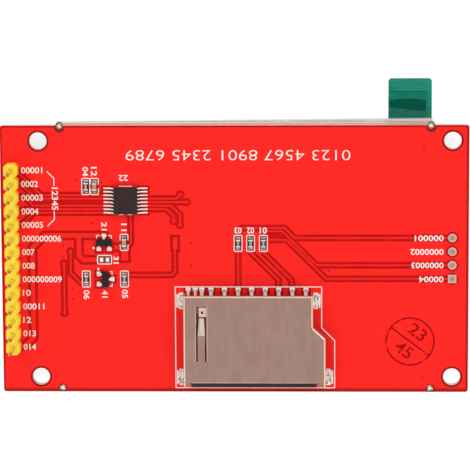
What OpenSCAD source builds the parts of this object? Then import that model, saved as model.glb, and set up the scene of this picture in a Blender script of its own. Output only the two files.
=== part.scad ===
// Display module: a colour screen with a resistive touch panel, glued and soldered to the back
// of a circuit board that carries a pin header, a touch controller and a memory-card socket.
// The module lies on its screen. X runs along the board, Y across it and Z out of the
// component side. The origin is the middle of the four mounting holes, on the screen film.

/* [Board] */
// Length of the circuit board
board_l = 86; // [84:0.5:96]
// Width of the circuit board
board_w = 49.7; // [49.5:0.1:60]
// Thickness of the circuit board
board_t = 1.6; // [1:0.1:2.4]
// Radius of the board's corners
board_corner_r = 0.5; // [0.2:0.1:1.5]
// Diameter of the mounting holes
hole_d = 3.2; // [2.2:0.1:3.6]
// Distance from the header end of the board to its nearest holes
hole_edge = 7; // [6.5:0.1:8]
// Distance from the far end of the board to its nearest holes
far_hole_edge = 3; // [2.8:0.1:4]
// Distance from the long edges of the board to the holes
side_hole_edge = 2.85; // [2.8:0.05:4]
// Diameter of the half holes that take the legs of the display frame
notch_d = 1.5; // [1.4:0.05:1.8]
// How far a half hole's centre lies inside the line of the legs
notch_inset = 0.05; // [0:0.05:0.2]
// Width of a signal trace
trace_w = 0.3; // [0.2:0.05:0.35]
// Width of a power trace
power_trace_w = 0.85; // [0.6:0.05:1]
// Width of the bare channel etched each side of a trace
channel_w = 0.5; // [0.3:0.02:0.56]
// Width of the bare band round the board's edge
edge_band = 0.35; // [0.2:0.05:0.6]
// Depth of the etched channels
etch_depth = 0.05; // [0.03:0.01:0.1]
// Diameter of a plated through-hole's pad
via_pad_d = 0.62; // [0.5:0.02:0.7]
// Width of a printed line
print_w = 0.17; // [0.1:0.01:0.25]
// Thickness of the printed ink
print_t = 0.03; // [0.02:0.01:0.05]

/* [Header] */
// Number of header pins
pin_count = 14; // [4:1:14]
// Pitch of the pins
pin_pitch = 2.54; // [2.5:0.01:2.6]
// Side of a square pin
pin_side = 0.64; // [0.5:0.02:0.66]
// Length of a pin that stands above the housing
pin_reach = 6; // [4:0.5:9]
// Length of a pin that shows past the screen side of the board
pin_tail = 1.3; // [0.8:0.1:1.8]
// Height of the header housing
housing_h = 2.54; // [2:0.02:3]
// Width of the header housing
housing_w = 2.54; // [2:0.02:2.8]
// Cut at the corners of each housing segment
housing_cut = 0.55; // [0.3:0.05:0.8]
// Diameter of the plated holes that take the pins
pin_hole_d = 1; // [0.95:0.01:1.1]
// Distance of the pin row from the header end of the board
header_edge = 2.1; // [1.8:0.1:2.5]
// Place of the first pin across the board
first_pin_y = 16.8; // [16:0.1:17.5]

/* [Card socket] */
// Width of the socket's metal shell
shell_w = 26.2; // [25.8:0.1:28]
// Length of the socket's metal shell
shell_l = 16.95; // [16.5:0.05:18]
// Height of the socket's metal shell
shell_h = 2.9; // [2.8:0.05:3.4]
// Thickness of the shell's sheet
shell_t = 0.2; // [0.15:0.01:0.25]
// Outer radius of the shell's bends
shell_bend_r = 0.36; // [0.25:0.01:0.5]
// How far the shell steps in beside the card's cut corner
shell_step = 2.3; // [2:0.1:3]
// Place of the shell's left wall along the board
shell_x = -11.45; // [-12:0.05:-10]
// Distance from the shell's mouth to the edge of the board
shell_setback = 1.5; // [1:0.05:2]
// Width of the slot for the card
card_w = 24.1; // [24:0.05:24.3]
// Height of the slot for the card
card_h = 2.25; // [2.1:0.05:2.3]
// Side of the card's cut corner
card_corner = 4; // [3.5:0.1:4.2]
// Pitch of the card contacts
contact_pitch = 2.5; // [2.4:0.05:2.55]
// Width of a card contact
contact_w = 0.6; // [0.5:0.05:0.8]
// Thickness of the contact sheet
contact_t = 0.15; // [0.1:0.01:0.18]
// Rise of the flared lip at the mouth
lip_rise = 0.42; // [0.2:0.02:0.6]

/* [Chips] */
// Length of a small chip
chip_l = 1.6; // [1.4:0.05:1.8]
// Width of a small chip
chip_w = 0.8; // [0.7:0.05:0.95]
// Height of a chip resistor
resistor_h = 0.45; // [0.35:0.05:0.6]
// Height of a chip capacitor
capacitor_h = 0.8; // [0.5:0.05:0.9]
// Length of a chip's metal end
chip_end = 0.32; // [0.2:0.02:0.4]
// Length of the touch controller's body
controller_l = 5; // [4.9:0.05:5.1]
// Width of the touch controller's body
controller_w = 4.4; // [4.3:0.05:4.6]
// Height of the touch controller's top above the board
controller_h = 1.1; // [0.9:0.05:1.3]
// Pitch of the touch controller's leads
lead_pitch = 0.65; // [0.6:0.01:0.66]
// Width of the touch controller's leads
lead_w = 0.24; // [0.18:0.01:0.28]
// Height of the three-lead packages
small_body_h = 1.05; // [0.9:0.05:1.2]

/* [Display] */
// Length of the display frame
frame_l = 69.2; // [68.8:0.1:69.4]
// How much narrower the display frame is than the board
frame_narrow = 0.5; // [0.3:0.05:0.7]
// Thickness of the display frame's sheet
frame_t = 0.2; // [0.15:0.01:0.25]
// Offset of the display across the board
display_dy = 0.43; // [0.3:0.01:0.5]
// Width of a soldered leg of the frame
leg_w = 0.9; // [0.6:0.05:1]
// Thickness of each glass sheet of the display
glass_t = 0.4; // [0.3:0.05:0.5]
// Thickness of each polariser
polariser_t = 0.12; // [0.1:0.01:0.2]
// Thickness of each diffuser and prism film
optic_film_t = 0.06; // [0.04:0.01:0.1]
// Thickness of the light guide
guide_t = 0.6; // [0.5:0.05:0.9]
// Thickness of the reflector sheet
reflector_t = 0.08; // [0.05:0.01:0.12]
// Number of backlight lamps
led_count = 4; // [3:1:6]
// Thickness of the foam tape between display and board
foam_t = 0.6; // [0.5:0.05:1]

/* [Touch panel] */
// How much longer the touch panel is than the display frame
touch_over_l = 0; // [-0.4:0.1:0.4]
// How much wider the touch panel is than the display frame
touch_over_w = 0.8; // [0.4:0.1:1.2]
// Offset of the touch panel across the board
touch_dy = 0.24; // [0:0.02:0.4]
// Turn of the touch panel, from being laid on by hand
touch_turn = 0.5; // [0:0.05:0.6]
// Thickness of the touch panel's glass
touch_glass_t = 0.95; // [0.7:0.05:1.2]
// Thickness of the gasket between touch film and glass
touch_gap = 0.06; // [0.04:0.01:0.1]
// Thickness of the touch panel's film
touch_film_t = 0.18; // [0.12:0.01:0.25]
// Thickness of the tape under the touch panel
panel_tape_t = 0.15; // [0.1:0.01:0.25]
// Thickness of the flexible tails
flex_t = 0.1; // [0.08:0.01:0.14]
// Thickness of the screen film
film_t = 0.08; // [0.07:0.01:0.12]
// Width of the pull tab
tab_w = 7.98; // [6:0.02:10]
// Reach of the pull tab past the touch panel
tab_reach = 7.6; // [5:0.1:12]
// Thickness of the pull tab, which is pressed flush into the film
tab_t = 0.05; // [0.03:0.01:0.06]

/* [Hidden] */

// Faces of a true circle, and the small overshoot of a cut
$fn = 48;
cut = 0.1;

// Widths of the display and of the panel on it
frame_w = board_w - frame_narrow;
touch_l = frame_l + touch_over_l;
touch_w = frame_w + touch_over_w;

// Levels, from the film that the module lies on up to the component side
touch_film_z = film_t;
touch_gap_z = touch_film_z + touch_film_t;
touch_glass_z = touch_gap_z + touch_gap;
panel_tape_z = touch_glass_z + touch_glass_t;
front_polariser_z = panel_tape_z + panel_tape_t;
filter_glass_z = front_polariser_z + polariser_t;
tft_glass_z = filter_glass_z + glass_t;
rear_polariser_z = tft_glass_z + glass_t;
optics_z = rear_polariser_z + polariser_t;
guide_z = optics_z + 4 * optic_film_t;
reflector_z = guide_z + guide_t;
frame_back_z = reflector_z + reflector_t;
foam_z = frame_back_z + frame_t;
board_z = foam_z + foam_t;
face_z = board_z + board_t;

// Board and header places
hole_pitch_x = board_l - hole_edge - far_hole_edge;
hole_pitch_y = board_w - 2 * side_hole_edge;
board_x0 = -hole_pitch_x / 2 - hole_edge;
board_x1 = board_x0 + board_l;
board_y1 = board_w / 2;
header_x = board_x0 + header_edge;
header_pad_d = 1.7;
// Relief under the housing, and the solder that wets the component side below it
housing_relief = 0.25;
wet_h = 0.12;
wet_inset = 0.1;
function pin_y(i) = first_pin_y - i * pin_pitch;

// Pads of the card signals at the far end of the board
sd_pad_x = hole_pitch_x / 2;
sd_pad_y = 4;
sd_pad_d = 1.6;
sd_pad_hole_d = 0.9;
sd_pad_count = 4;
pad_t = 0.05;
// Bare gap round a pad, and the tighter one round the pads of a chip
pad_gap = 0.36;
chip_pad_gap = 0.14;

// Places of the chips, from the middle of the mounting holes
controller_at = [-22, 11];
regulator_at = [-26.05, 3.2];
transistor_at = [-25.85, -3.65];
jumper_at = [-26, -0.05];
resistor_at = [[3.3, 3], [0.95, 3], [-1.35, 3], [-29.3, 13.6], [-22.35, -3.65], [-29.4, -3.65]];
capacitor_at = [[-22.35, 3.2], [-27.7, 13.6]];
chip_frame = [1.6, 3.15];
frame_corner_r = 0.3;
chip_frame_gap = 0.75;
chip_pad_w = 0.85;
chip_pad_l = 0.9;

// Leads of the touch controller
lead_count = 8;
lead_t = 0.15;
lead_reach = 1;
lead_pad_l = 1.55;
lead_pad_w = 0.34;
controller_pad_x = controller_w / 2 + 0.35;
function lead_y(i) = ((lead_count - 1) / 2 - i) * lead_pitch;

// Leads of the three-lead packages
small_l = 2.9;
small_w = 1.3;
small_lead_w = 0.42;
small_lead_pitch = 1.9;
small_lead_reach = 0.55;
small_lead_t = 0.12;
small_lead_at = [[0, 1], [-small_lead_pitch / 2, -1], [small_lead_pitch / 2, -1]];
small_pad = [0.95, 0.9];
small_pad_out = 0.6;

// Two open jumper pads, in a printed box
jumper_pad = [0.78, 1];
jumper_pitch = 1.1;
jumper_l = 1.95;
jumper_box = [2.75, 1.75];

// Touch signals run from the controller's left leads to the first header pins
touch_lead = [2, 3, 5, 6, 7];
bend_x = [-37.5, -38.5, -39, -40.6, -38.9];
controller_left = controller_at[0] - controller_pad_x;
controller_right = controller_at[0] + controller_pad_x;

SIGNALS = concat(
    [for (i = [0:len(touch_lead) - 1])
        let (y0 = controller_at[1] + lead_y(touch_lead[i]), y1 = pin_y(i))
        [[controller_left, y0], [bend_x[i], y0], [bend_x[i] - abs(y1 - y0), y1], [header_x, y1]]],
    [[[controller_right, 11.325], [-12.7, 11.325], [-11.9, 12.1]],
     [[controller_right, 10.675], [-10.8, 10.675]],
     [[controller_right, 10.025], [-13.6, 10.025], [-12, 8.4], [-12, 6.45]],
     [[controller_right, 9.375], [-14.5, 9.375], [-13.2, 8.1], [-13.2, 7.2]],
     [[-21.1, 8.6], [-21.1, 3.1], [-22.2, 2], [-22.2, 1]],
     [[-32.25, 1.5], [-32.25, -2.5], [-30.35, -4.4], [-29.4, -4.4]],
     [[-33.5, -0.8], [-33.5, -10.05]],
     [[-22.35, -2.9], [-13.55, -2.9], [-13, -2.35], [-13, 3]],
     [[-1.35, 2.2], [-1.35, -5.6]],
     [[0.95, 2.2], [0.95, 1.3], [6.05, -3.8], [6.05, -5.6]],
     [[3.3, 2.2], [3.3, 1.3], [8.5, -3.9], [8.5, -5.6]],
     [[-1.35, 3.8], [-1.35, 5.1], [-0.6, 5.85], [7.2, 5.85], [9.05, 4], [sd_pad_x, 4]],
     [[3.3, 3.8], [3.3, 5.25], [6.75, 5.25], [13.08, -1.08], [sd_pad_x, -1.08]],
     [[4.3, 3.65], [7.6, 3.65], [14.87, -3.62], [sd_pad_x, -3.62]]]);
POWER = [
    [[regulator_at[0], 4.5], [-37, 4.5], [-39.3, 2.2], [-39.3, -14.6], [-40.9, -16.2],
     [header_x, -16.2]],
    [[-30.7, 4.5], [-30.7, 0.7], [-29.95, -0.05], [jumper_at[0] - 0.5, -0.05]]];
VIAS = [[-11.9, 12.1], [-10.8, 10.675], [-12, 6.45], [-13.2, 7.2],
        [-32.25, 1.5], [-33.5, -0.8], [-33.5, -10.05]];
// Broad pads that two traces end in: centre and size
END_PADS = [[[-12.95, 3], [0.85, 2.2]], [[-22.25, 0.85], [1.25, 2.1]]];
// Places where the ground fill is left out between lines: centre and size
BARE = [[[-31.9, 10.7], [10.2, 0.85]], [[5.4, 4.55], [2.2, 0.95]],
        [[-23.75, 2.95], [1.5, 0.4]], [[-23.75, 1.65], [1.3, 0.45]]];

// ---- Shared shapes ----

function unit(v) = v / norm(v);
function left_of(v) = [-v[1], v[0]];
// Sideways step at a point of a path, mitred where the path bends
function mitre(path, i, side) =
    let (last = len(path) - 1, a = max(i, 1), b = min(i + 1, last),
         before = left_of(unit(path[a] - path[a - 1])),
         after = left_of(unit(path[b] - path[b - 1])),
         middle = unit(before + after))
    middle * side / (middle * after);
function beside(path, side) = [for (i = [0:len(path) - 1]) path[i] + mitre(path, i, side)];
function reversed(list) = [for (i = [len(list) - 1:-1:0]) list[i]];
// Outline of an even strip along a path
function strip(path, width) = concat(beside(path, width / 2), reversed(beside(path, -width / 2)));

module block(low, high) translate(low) cube(high - low);

module centred(size, z, h) translate([-size[0] / 2, -size[1] / 2, z]) cube([size[0], size[1], h]);

// A rectangle with rounded corners
module rounded(size, r) {
    square([size[0] - 2 * r, size[1]], center = true);
    square([size[0], size[1] - 2 * r], center = true);
    for (x = [-1, 1], y = [-1, 1])
        translate([x * (size[0] / 2 - r), y * (size[1] / 2 - r)]) circle(r);
}

// A side view, given across Y and up Z, drawn out evenly each side of X = 0
module across(width) rotate([90, 0, 90]) linear_extrude(width, center = true) children();

module on_board(at, turn = 0) translate([at[0], at[1], face_z]) rotate(turn) children();

module on_display() translate([0, display_dy, 0]) children();

module on_touch() translate([0, touch_dy, 0]) rotate(touch_turn) children();

// A fillet of solder that falls from a wall at Y = 0 to the board
module solder_toe(width, length, height)
    across(width) polygon([[0, 0], [length, 0], [length * 0.45, height * 0.3], [0, height]]);

// Solder at the end of a foot, which also wets its two sides for some way back
module solder_cup(width, length, height, foot_w, foot_t, back) {
    solder_toe(width, length, height);
    for (side = [-1, 1])
        translate([side * (width + foot_w) / 4, 0, 0])
            block([(foot_w - width) / 4, -back, 0], [(width - foot_w) / 4, length / 10, foot_t]);
}

// ---- Circuit board ----

module board_outline(inset = 0)
    translate([(board_x0 + board_x1) / 2, 0])
        rounded([board_l - 2 * inset, board_w - 2 * inset], board_corner_r);

module hole_places()
    for (x = [-1, 1], y = [-1, 1])
        translate([x * hole_pitch_x / 2, y * hole_pitch_y / 2]) children();

leg_x = frame_l / 2 - 0.1 - leg_w / 2;
function leg_y(side) = display_dy + side * (frame_w - frame_t) / 2;
notch_y = (frame_w - frame_t) / 2 - notch_inset;
module notch_places()
    for (x = [-1, 1], y = [-1, 1]) translate([x * leg_x, y * notch_y]) children();

module sd_pad_places()
    for (i = [0:sd_pad_count - 1])
        translate([sd_pad_x, sd_pad_y - i * pin_pitch]) children();

module header_places()
    for (i = [0:pin_count - 1]) translate([header_x, pin_y(i)]) children();

// The pads that the solder of each part sits on
module controller_pads(grow = 0)
    translate(controller_at)
        for (side = [-1, 1], i = [0:lead_count - 1])
            translate([side * (controller_pad_x + lead_pad_l / 2), lead_y(i)])
                square([lead_pad_l + 2 * grow, lead_pad_w + 2 * grow], center = true);

module chip_pads(at, grow = 0)
    for (side = [-1, 1])
        translate([at[0], at[1] + side * chip_l / 2])
            square([chip_pad_w + 2 * grow, chip_pad_l + 2 * grow], center = true);

module small_pads(grow = 0)
    for (at = small_lead_at)
        translate([at[0], at[1] * (small_w / 2 + small_pad_out)])
            square([small_pad[0] + 2 * grow, small_pad[1] + 2 * grow], center = true);

module all_pads(grow) {
    controller_pads(grow);
    for (at = concat(resistor_at, capacitor_at)) chip_pads(at, min(grow, chip_pad_gap));
    translate(regulator_at) small_pads(grow);
    translate(transistor_at) rotate(-90) small_pads(grow);
    translate(jumper_at)
        square([jumper_l + 2 * grow, jumper_pad[1] + 2 * grow], center = true);
    for (x = concat(contact_xs, switch_xs))
        translate([x, foot_y1 + foot_pad_end - foot_pad_l / 2])
            square([foot_pad_w + 2 * grow, foot_pad_l + 2 * min(grow, foot_pad_gap)],
                   center = true);
    header_places() circle(d = header_pad_d + 2 * grow);
    sd_pad_places() circle(d = sd_pad_d + 2 * grow);
}

// Where the copper is etched away on the component side
module etched() difference() {
    union() {
        for (path = SIGNALS) polygon(strip(path, trace_w + 2 * channel_w));
        for (path = POWER) polygon(strip(path, power_trace_w + 2 * channel_w));
        for (at = VIAS) translate(at) circle(d = via_pad_d + 2 * channel_w);
        for (pad = END_PADS)
            translate(pad[0]) square(pad[1] + 2 * [channel_w, channel_w], center = true);
        for (gap = BARE) translate(gap[0]) square(gap[1], center = true);
        all_pads(pad_gap);
        hole_places() circle(d = hole_d + 2 * edge_band);
        notch_places() circle(d = notch_d + edge_band);
        difference() {
            square([2 * board_l, 2 * board_w], center = true);
            board_outline(edge_band);
        }
    }
    for (path = SIGNALS) polygon(strip(path, trace_w));
    for (path = POWER) polygon(strip(path, power_trace_w));
    for (at = VIAS) translate(at) circle(d = via_pad_d);
    for (pad = END_PADS) translate(pad[0]) square(pad[1], center = true);
    all_pads(0);
}

module circuit_board() color([0.93, 0.16, 0.12]) difference() {
    translate([0, 0, board_z]) linear_extrude(board_t) difference() {
        board_outline();
        hole_places() circle(d = hole_d);
        notch_places() circle(d = notch_d);
        header_places() circle(d = pin_hole_d);
        sd_pad_places() circle(d = sd_pad_hole_d);
    }
    translate([0, 0, face_z - etch_depth]) linear_extrude(etch_depth + cut) etched();
}

// A printed frame with rounded corners
module printed_frame(at, size) translate(at) difference() {
    rounded(size, frame_corner_r);
    rounded([size[0] - 2 * print_w, size[1] - 2 * print_w], frame_corner_r - print_w);
}

print_dot_d = 0.45;
module printed_line(path) polygon(strip(path, print_w));

// Printed outline of the card socket, clear of its shell, tabs and solder
outline_gap = 1.55;
outline_rear = 1.35;
outline_front = 0.75;
outline_corner = 2.4;
module printed_socket() {
    left = shell_x - outline_gap;
    right = shell_x1 + outline_gap + 0.1;
    step = shell_x1 - shell_step + outline_gap;
    rear = shell_y1 + outline_rear;
    front = -board_y1 + outline_front;
    step_y = shell_step_y - 0.5;
    printed_line([[step, rear - print_w / 2], [left, rear - print_w / 2], [left, front],
                  [right - print_w / 2, front]]);
    printed_line([[step, rear], [step, step_y], [right, step_y - outline_corner],
                  [right, front - print_w / 2]]);
}

module silkscreen() color([1, 0.92, 0.88]) translate([0, 0, face_z]) linear_extrude(print_t) {
    for (at = resistor_at) printed_frame(at, chip_frame);
    // The frames of the capacitors are open in the middle of their long sides
    for (at = capacitor_at) difference() {
        printed_frame(at, chip_frame);
        translate(at) square([chip_frame[0] + cut, chip_frame_gap], center = true);
    }
    printed_socket();
    // Ends of the touch controller, and the corners and dots of the three-lead parts
    translate(controller_at + [0, controller_l / 2 + 0.12]) square([2.4, print_w], center = true);
    for (x = [-0.8, 0.8])
        translate(controller_at + [x, -controller_l / 2 - 0.12])
            square([0.8, print_w], center = true);
    translate(regulator_at) {
        printed_line([[-1.36, 0.7], [-1.36, 1.25], [-0.75, 1.25]]);
        printed_line([[1.36, 0.7], [1.36, 1.25], [0.75, 1.25]]);
        translate([-1.95, -1.05]) circle(d = print_dot_d);
    }
    translate(transistor_at) {
        printed_line([[0.75, 1.36], [1.2, 1.36], [1.2, 0.75]]);
        printed_line([[0.75, -1.36], [1.2, -1.36], [1.2, -0.75]]);
        translate([-1.3, 1.85]) circle(d = print_dot_d);
    }
    printed_frame(jumper_at, jumper_box);
    // Bracket beside the five touch pins
    printed_line([[-36.45, 16.4], [-35.15, 15.1], [-35.15, 13.7]]);
    printed_line([[-35.15, 8.95], [-35.15, 7.5], [-36.45, 6.2]]);
}

// ---- Pin header ----

// One side of the housing's outline: a cut-cornered segment for each pin
function housing_side(x) = concat(
    [for (i = [0:pin_count - 1], p = [[x - housing_cut, pin_pitch / 2],
                                      [x, pin_pitch / 2 - housing_cut],
                                      [x, housing_cut - pin_pitch / 2]])
        [p[0], pin_y(i) + p[1]]],
    [[x - housing_cut, pin_y(pin_count - 1) - pin_pitch / 2]]);
function flip_x(points) = [for (p = points) [-p[0], p[1]]];

module header_housing() color([1, 0.86, 0.25])
    translate([header_x, 0, face_z]) difference() {
        linear_extrude(housing_h) difference() {
            polygon(concat(housing_side(housing_w / 2),
                           reversed(flip_x(housing_side(housing_w / 2)))));
            for (i = [0:pin_count - 1])
                translate([0, pin_y(i)]) square(pin_side, center = true);
        }
        for (i = [0:pin_count - 1])
            translate([0, pin_y(i), -cut]) cylinder(d = header_pad_d, h = cut + housing_relief);
    }

// Side view of a pin with its pointed ends
pin_point = 0.5;
module pin_view() {
    low = board_z - pin_tail;
    high = face_z + housing_h + pin_reach;
    half = pin_side / 2;
    polygon([[-half, low + pin_point], [-half / 2, low], [half / 2, low], [half, low + pin_point],
             [half, high - pin_point], [half / 2, high], [-half / 2, high],
             [-half, high - pin_point]]);
}

module header_pins() color([0.85, 0.78, 0.5])
    header_places() intersection() {
        across(pin_side) pin_view();
        rotate(90) across(pin_side) pin_view();
    }

// Solder fills each plated hole and rises round the pin on the screen side
fillet_h = 0.9;
module header_solder() color([0.8, 0.8, 0.82]) header_places() difference() {
    union() {
        translate([0, 0, board_z]) cylinder(d = pin_hole_d, h = board_t);
        translate([0, 0, board_z]) mirror([0, 0, 1]) rotate_extrude()
            polygon([[0, 0], [header_pad_d / 2, 0], [0.62, 0.2], [0.5, 0.5], [0.42, fillet_h],
                     [0, fillet_h]]);
        translate([0, 0, face_z]) cylinder(d = header_pad_d - 2 * wet_inset, h = wet_h);
    }
    centred([pin_side, pin_side], board_z - fillet_h - cut, fillet_h + board_t + wet_h + 2 * cut);
}

// ---- Card socket ----

shell_x1 = shell_x + shell_w;
shell_y0 = -board_y1 + shell_setback;
shell_y1 = shell_y0 + shell_l;
shell_step_y = shell_y1 - 5.9;
// Outer wall line, from the mouth round the rear and back to the mouth
shell_path = [[shell_x, shell_y0], [shell_x, shell_y1], [shell_x1 - shell_step, shell_y1],
              [shell_x1 - shell_step, shell_step_y],
              [shell_x1, shell_step_y - shell_step * 0.93], [shell_x1, shell_y0]];
shell_inner = beside(shell_path, -shell_t);
roof_z = shell_h - shell_t;
// Card slot: the card's left edge, the wall that it stops against, and its floor
card_x = shell_x + 0.95;
card_stop_y = shell_y1 - 3.5;
card_floor = roof_z - card_h;
// Leaf spring that presses on the card: its slots, window and root
leaf_x = shell_x + 2.65;
leaf_w = 1.35;
leaf_slot = 0.3;
leaf_root_y = shell_y1 - 12.2;
leaf_bend_y = shell_y1 - 7.4;
leaf_foot_y = shell_y1 - 4.15;
leaf_tip_y = shell_y1 - 2.15;
leaf_dip = 0.7;
leaf_head_dip = 0.3;
// Flared lip, between two relief cuts
lip_l = 0.76;
lip_x0 = shell_x + 1.55;
lip_x1 = shell_x1 - 1.8;
relief_w = 0.3;
// Soldered tabs: wall, side and low Y
shell_tab_l = 2.5;
shell_tab_out = 1.05;
side_clear = 0.35;
rear_gap_h = 1.9;
rear_tab_y = shell_y1 - 0.1 - shell_tab_l;
mouth_tab_y = shell_y0 + 0.05;
shell_tabs = [[shell_x, -1, rear_tab_y], [shell_x, -1, mouth_tab_y],
              [shell_x1 - shell_step, 1, rear_tab_y], [shell_x1, 1, mouth_tab_y]];

// The waste outside a rounded bend, along one edge of the roof
module bend_waste(from, to)
    translate([from[0], from[1], shell_h]) rotate(atan2(to[1] - from[1], to[0] - from[0]))
        rotate([90, 0, 90]) linear_extrude(norm(to - from)) difference() {
            translate([-shell_bend_r, -shell_bend_r]) square(shell_bend_r + cut);
            translate([-shell_bend_r, -shell_bend_r]) circle(shell_bend_r);
        }

module leaf_spring() {
    mid = leaf_x + leaf_w / 2;
    z = roof_z + shell_t / 2;
    path = [[leaf_root_y - 0.5, z], [leaf_bend_y, z], [leaf_foot_y, z - leaf_dip],
            [leaf_foot_y + 0.22, z - leaf_head_dip], [leaf_tip_y, z - leaf_head_dip]];
    difference() {
        intersection() {
            translate([mid, 0, 0]) across(2 * leaf_w) polygon(strip(path, shell_t));
            linear_extrude(shell_h + cut) polygon([
                [leaf_x, leaf_root_y - 0.5], [leaf_x, leaf_bend_y], [leaf_x + 0.25, leaf_foot_y],
                [leaf_x + 0.25, leaf_tip_y], [leaf_x + leaf_w + 0.25, leaf_tip_y],
                [leaf_x + leaf_w + 0.25, leaf_foot_y + 0.1], [leaf_x + leaf_w - 0.2, leaf_foot_y],
                [leaf_x + leaf_w, leaf_bend_y], [leaf_x + leaf_w, leaf_root_y - 0.5]]);
        }
        translate([mid + 0.15, (leaf_foot_y + leaf_tip_y) / 2 + 0.05, 0])
            centred([0.5, 0.5], 0, shell_h + cut);
    }
}

module sd_shell() color([0.68, 0.58, 0.52]) translate([0, 0, face_z]) {
    difference() {
        union() {
            // Walls and roof
            linear_extrude(shell_h) polygon(concat(shell_path, reversed(shell_inner)));
            translate([0, 0, roof_z]) linear_extrude(shell_t) polygon(shell_path);
        }
        for (i = [0:len(shell_path) - 2]) bend_waste(shell_path[i], shell_path[i + 1]);
        // The rear wall is short, above the contact feet, and the side walls clear the board
        block([shell_x + 0.4, shell_y1 - 1, -cut],
              [shell_x1 - shell_step - 0.4, shell_y1 + cut, rear_gap_h]);
        block([shell_x - cut, mouth_tab_y + shell_tab_l, -cut],
              [shell_x + 1, rear_tab_y, side_clear]);
        block([shell_x1 - shell_step - 1, mouth_tab_y + shell_tab_l, -cut],
              [shell_x1 + cut, rear_tab_y, side_clear]);
        // Slots and window of the leaf spring
        block([leaf_x - leaf_slot, leaf_root_y, roof_z - cut],
              [leaf_x + leaf_w + leaf_slot, leaf_tip_y + 0.2, shell_h + cut]);
        // Roof cut back for the flared lip, with a relief at each end
        block([lip_x0 - relief_w, shell_y0 - cut, roof_z - cut],
              [lip_x1 + relief_w, shell_y0 + lip_l, shell_h + cut]);
    }
    leaf_spring();
    translate([(lip_x0 + lip_x1) / 2, 0, 0]) across(lip_x1 - lip_x0) polygon(strip(
        [[shell_y0 + lip_l + 0.3, roof_z + shell_t / 2], [shell_y0 + lip_l, roof_z + shell_t / 2],
         [shell_y0, roof_z + shell_t / 2 + lip_rise]], shell_t));
    // Soldered tabs, turned out from the foot of the side walls
    for (t = shell_tabs) {
        root = t[0] - t[1] * shell_t / 2;
        tip = t[0] + t[1] * shell_tab_out;
        block([min(root, tip), t[2], 0], [max(root, tip), t[2] + shell_tab_l, shell_t]);
    }
}

// Middle lines of the nine card contacts and the two switch contacts
contact_x0 = card_x + 2.4;
function contact_x(i) = i == 0 ? contact_x0 : contact_x0 + 1.7 + (i - 1) * contact_pitch;
contact_count = 9;
contact_xs = [for (i = [0:contact_count - 1]) contact_x(i)];
switch_xs = [contact_x0 - 1.2, contact_x0 - 2.5];
switch_w = contact_w * 0.75;
contact_slot = 0.1;
contact_z = 0.72;
foot_y1 = shell_y1 + 0.85;
foot_bend_y = shell_y1 - shell_t - 0.05;
// Pads that the feet are soldered to, and how far they reach past the feet
foot_pad_w = 0.95;
foot_pad_l = 2;
foot_pad_end = 0.2;
foot_pad_gap = 0.1;

// Side view of a contact: soldered foot, riser, held length and sprung tip
module contact_view(reach, lift) polygon(strip(
    [[foot_y1, contact_t / 2], [foot_bend_y, contact_t / 2],
     [foot_bend_y - 0.45, contact_z - contact_t / 2], [card_stop_y, contact_z - contact_t / 2],
     [card_stop_y - reach, contact_z - contact_t / 2 + lift],
     [card_stop_y - reach - 0.7, contact_z - contact_t / 2 + lift / 2]], contact_t));

module sd_contacts() color([0.85, 0.83, 0.78]) translate([0, 0, face_z])
    for (x = contact_xs) translate([x, 0, 0]) across(contact_w) contact_view(2.9, 0.4);

module sd_switch_contacts() color([0.8, 0.66, 0.5]) translate([0, 0, face_z])
    for (x = switch_xs) translate([x, 0, 0]) across(switch_w) contact_view(1.6, 0.25);

module sd_base() color([0.12, 0.12, 0.13]) translate([0, 0, face_z]) difference() {
    base_front = shell_y0 + lip_l;
    linear_extrude(roof_z) polygon(concat(
        [[shell_inner[0][0], base_front]], [for (i = [1:4]) shell_inner[i]],
        [[shell_inner[5][0], base_front]]));
    // Card slot with its cut corner, open towards the mouth
    translate([0, 0, card_floor]) linear_extrude(roof_z) polygon([
        [card_x, shell_y0 - cut], [card_x, card_stop_y],
        [card_x + card_w - card_corner, card_stop_y],
        [card_x + card_w, card_stop_y - card_corner], [card_x + card_w, shell_y0 - cut]]);
    // The floor ends short of the mouth, between the side rails
    block([card_x + 1.4, shell_y0 - cut, -cut], [card_x + card_w - 1.4, shell_y0 + 7.5, shell_h]);
    // Grooves that hold the contacts, and slots below their sprung tips
    for (x = concat(contact_xs, switch_xs)) {
        width = x < contact_x0 ? switch_w : contact_w;
        block([x - width / 2, card_stop_y - cut, -cut], [x + width / 2, shell_y1, contact_z]);
        block([x - width / 2 - contact_slot, card_stop_y - 4.2, -cut],
              [x + width / 2 + contact_slot, card_stop_y, shell_h / 2]);
    }
    // Room for the leaf spring's head
    block([leaf_x - leaf_slot, card_stop_y - cut, roof_z - 1.2],
          [leaf_x + leaf_w + leaf_slot + 0.1, leaf_tip_y + 0.2, roof_z + cut]);
}

// Solder at the toes of the contacts and round the shell's tabs
tab_toe_l = 0.28;
foot_toe_l = 0.3;
module sd_solder() color([0.88, 0.87, 0.85]) translate([0, 0, face_z]) {
    for (x = concat(contact_xs, switch_xs))
        translate([x, foot_y1, 0])
            solder_cup(foot_pad_w, foot_toe_l, contact_t + 0.05,
                       x < contact_x0 ? switch_w : contact_w, contact_t, foot_toe_l);
    for (t = shell_tabs) {
        translate([t[0] + t[1] * shell_tab_out, t[2] + shell_tab_l / 2, 0]) rotate(-90 * t[1])
            solder_toe(shell_tab_l, tab_toe_l, shell_t + 0.05);
        for (end = [-1, 1])
            translate([t[0] + t[1] * 0.5, t[2] + (end + 1) / 2 * shell_tab_l, 0])
                rotate(90 - 90 * end) solder_toe(0.8, tab_toe_l, shell_t);
    }
}

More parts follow.
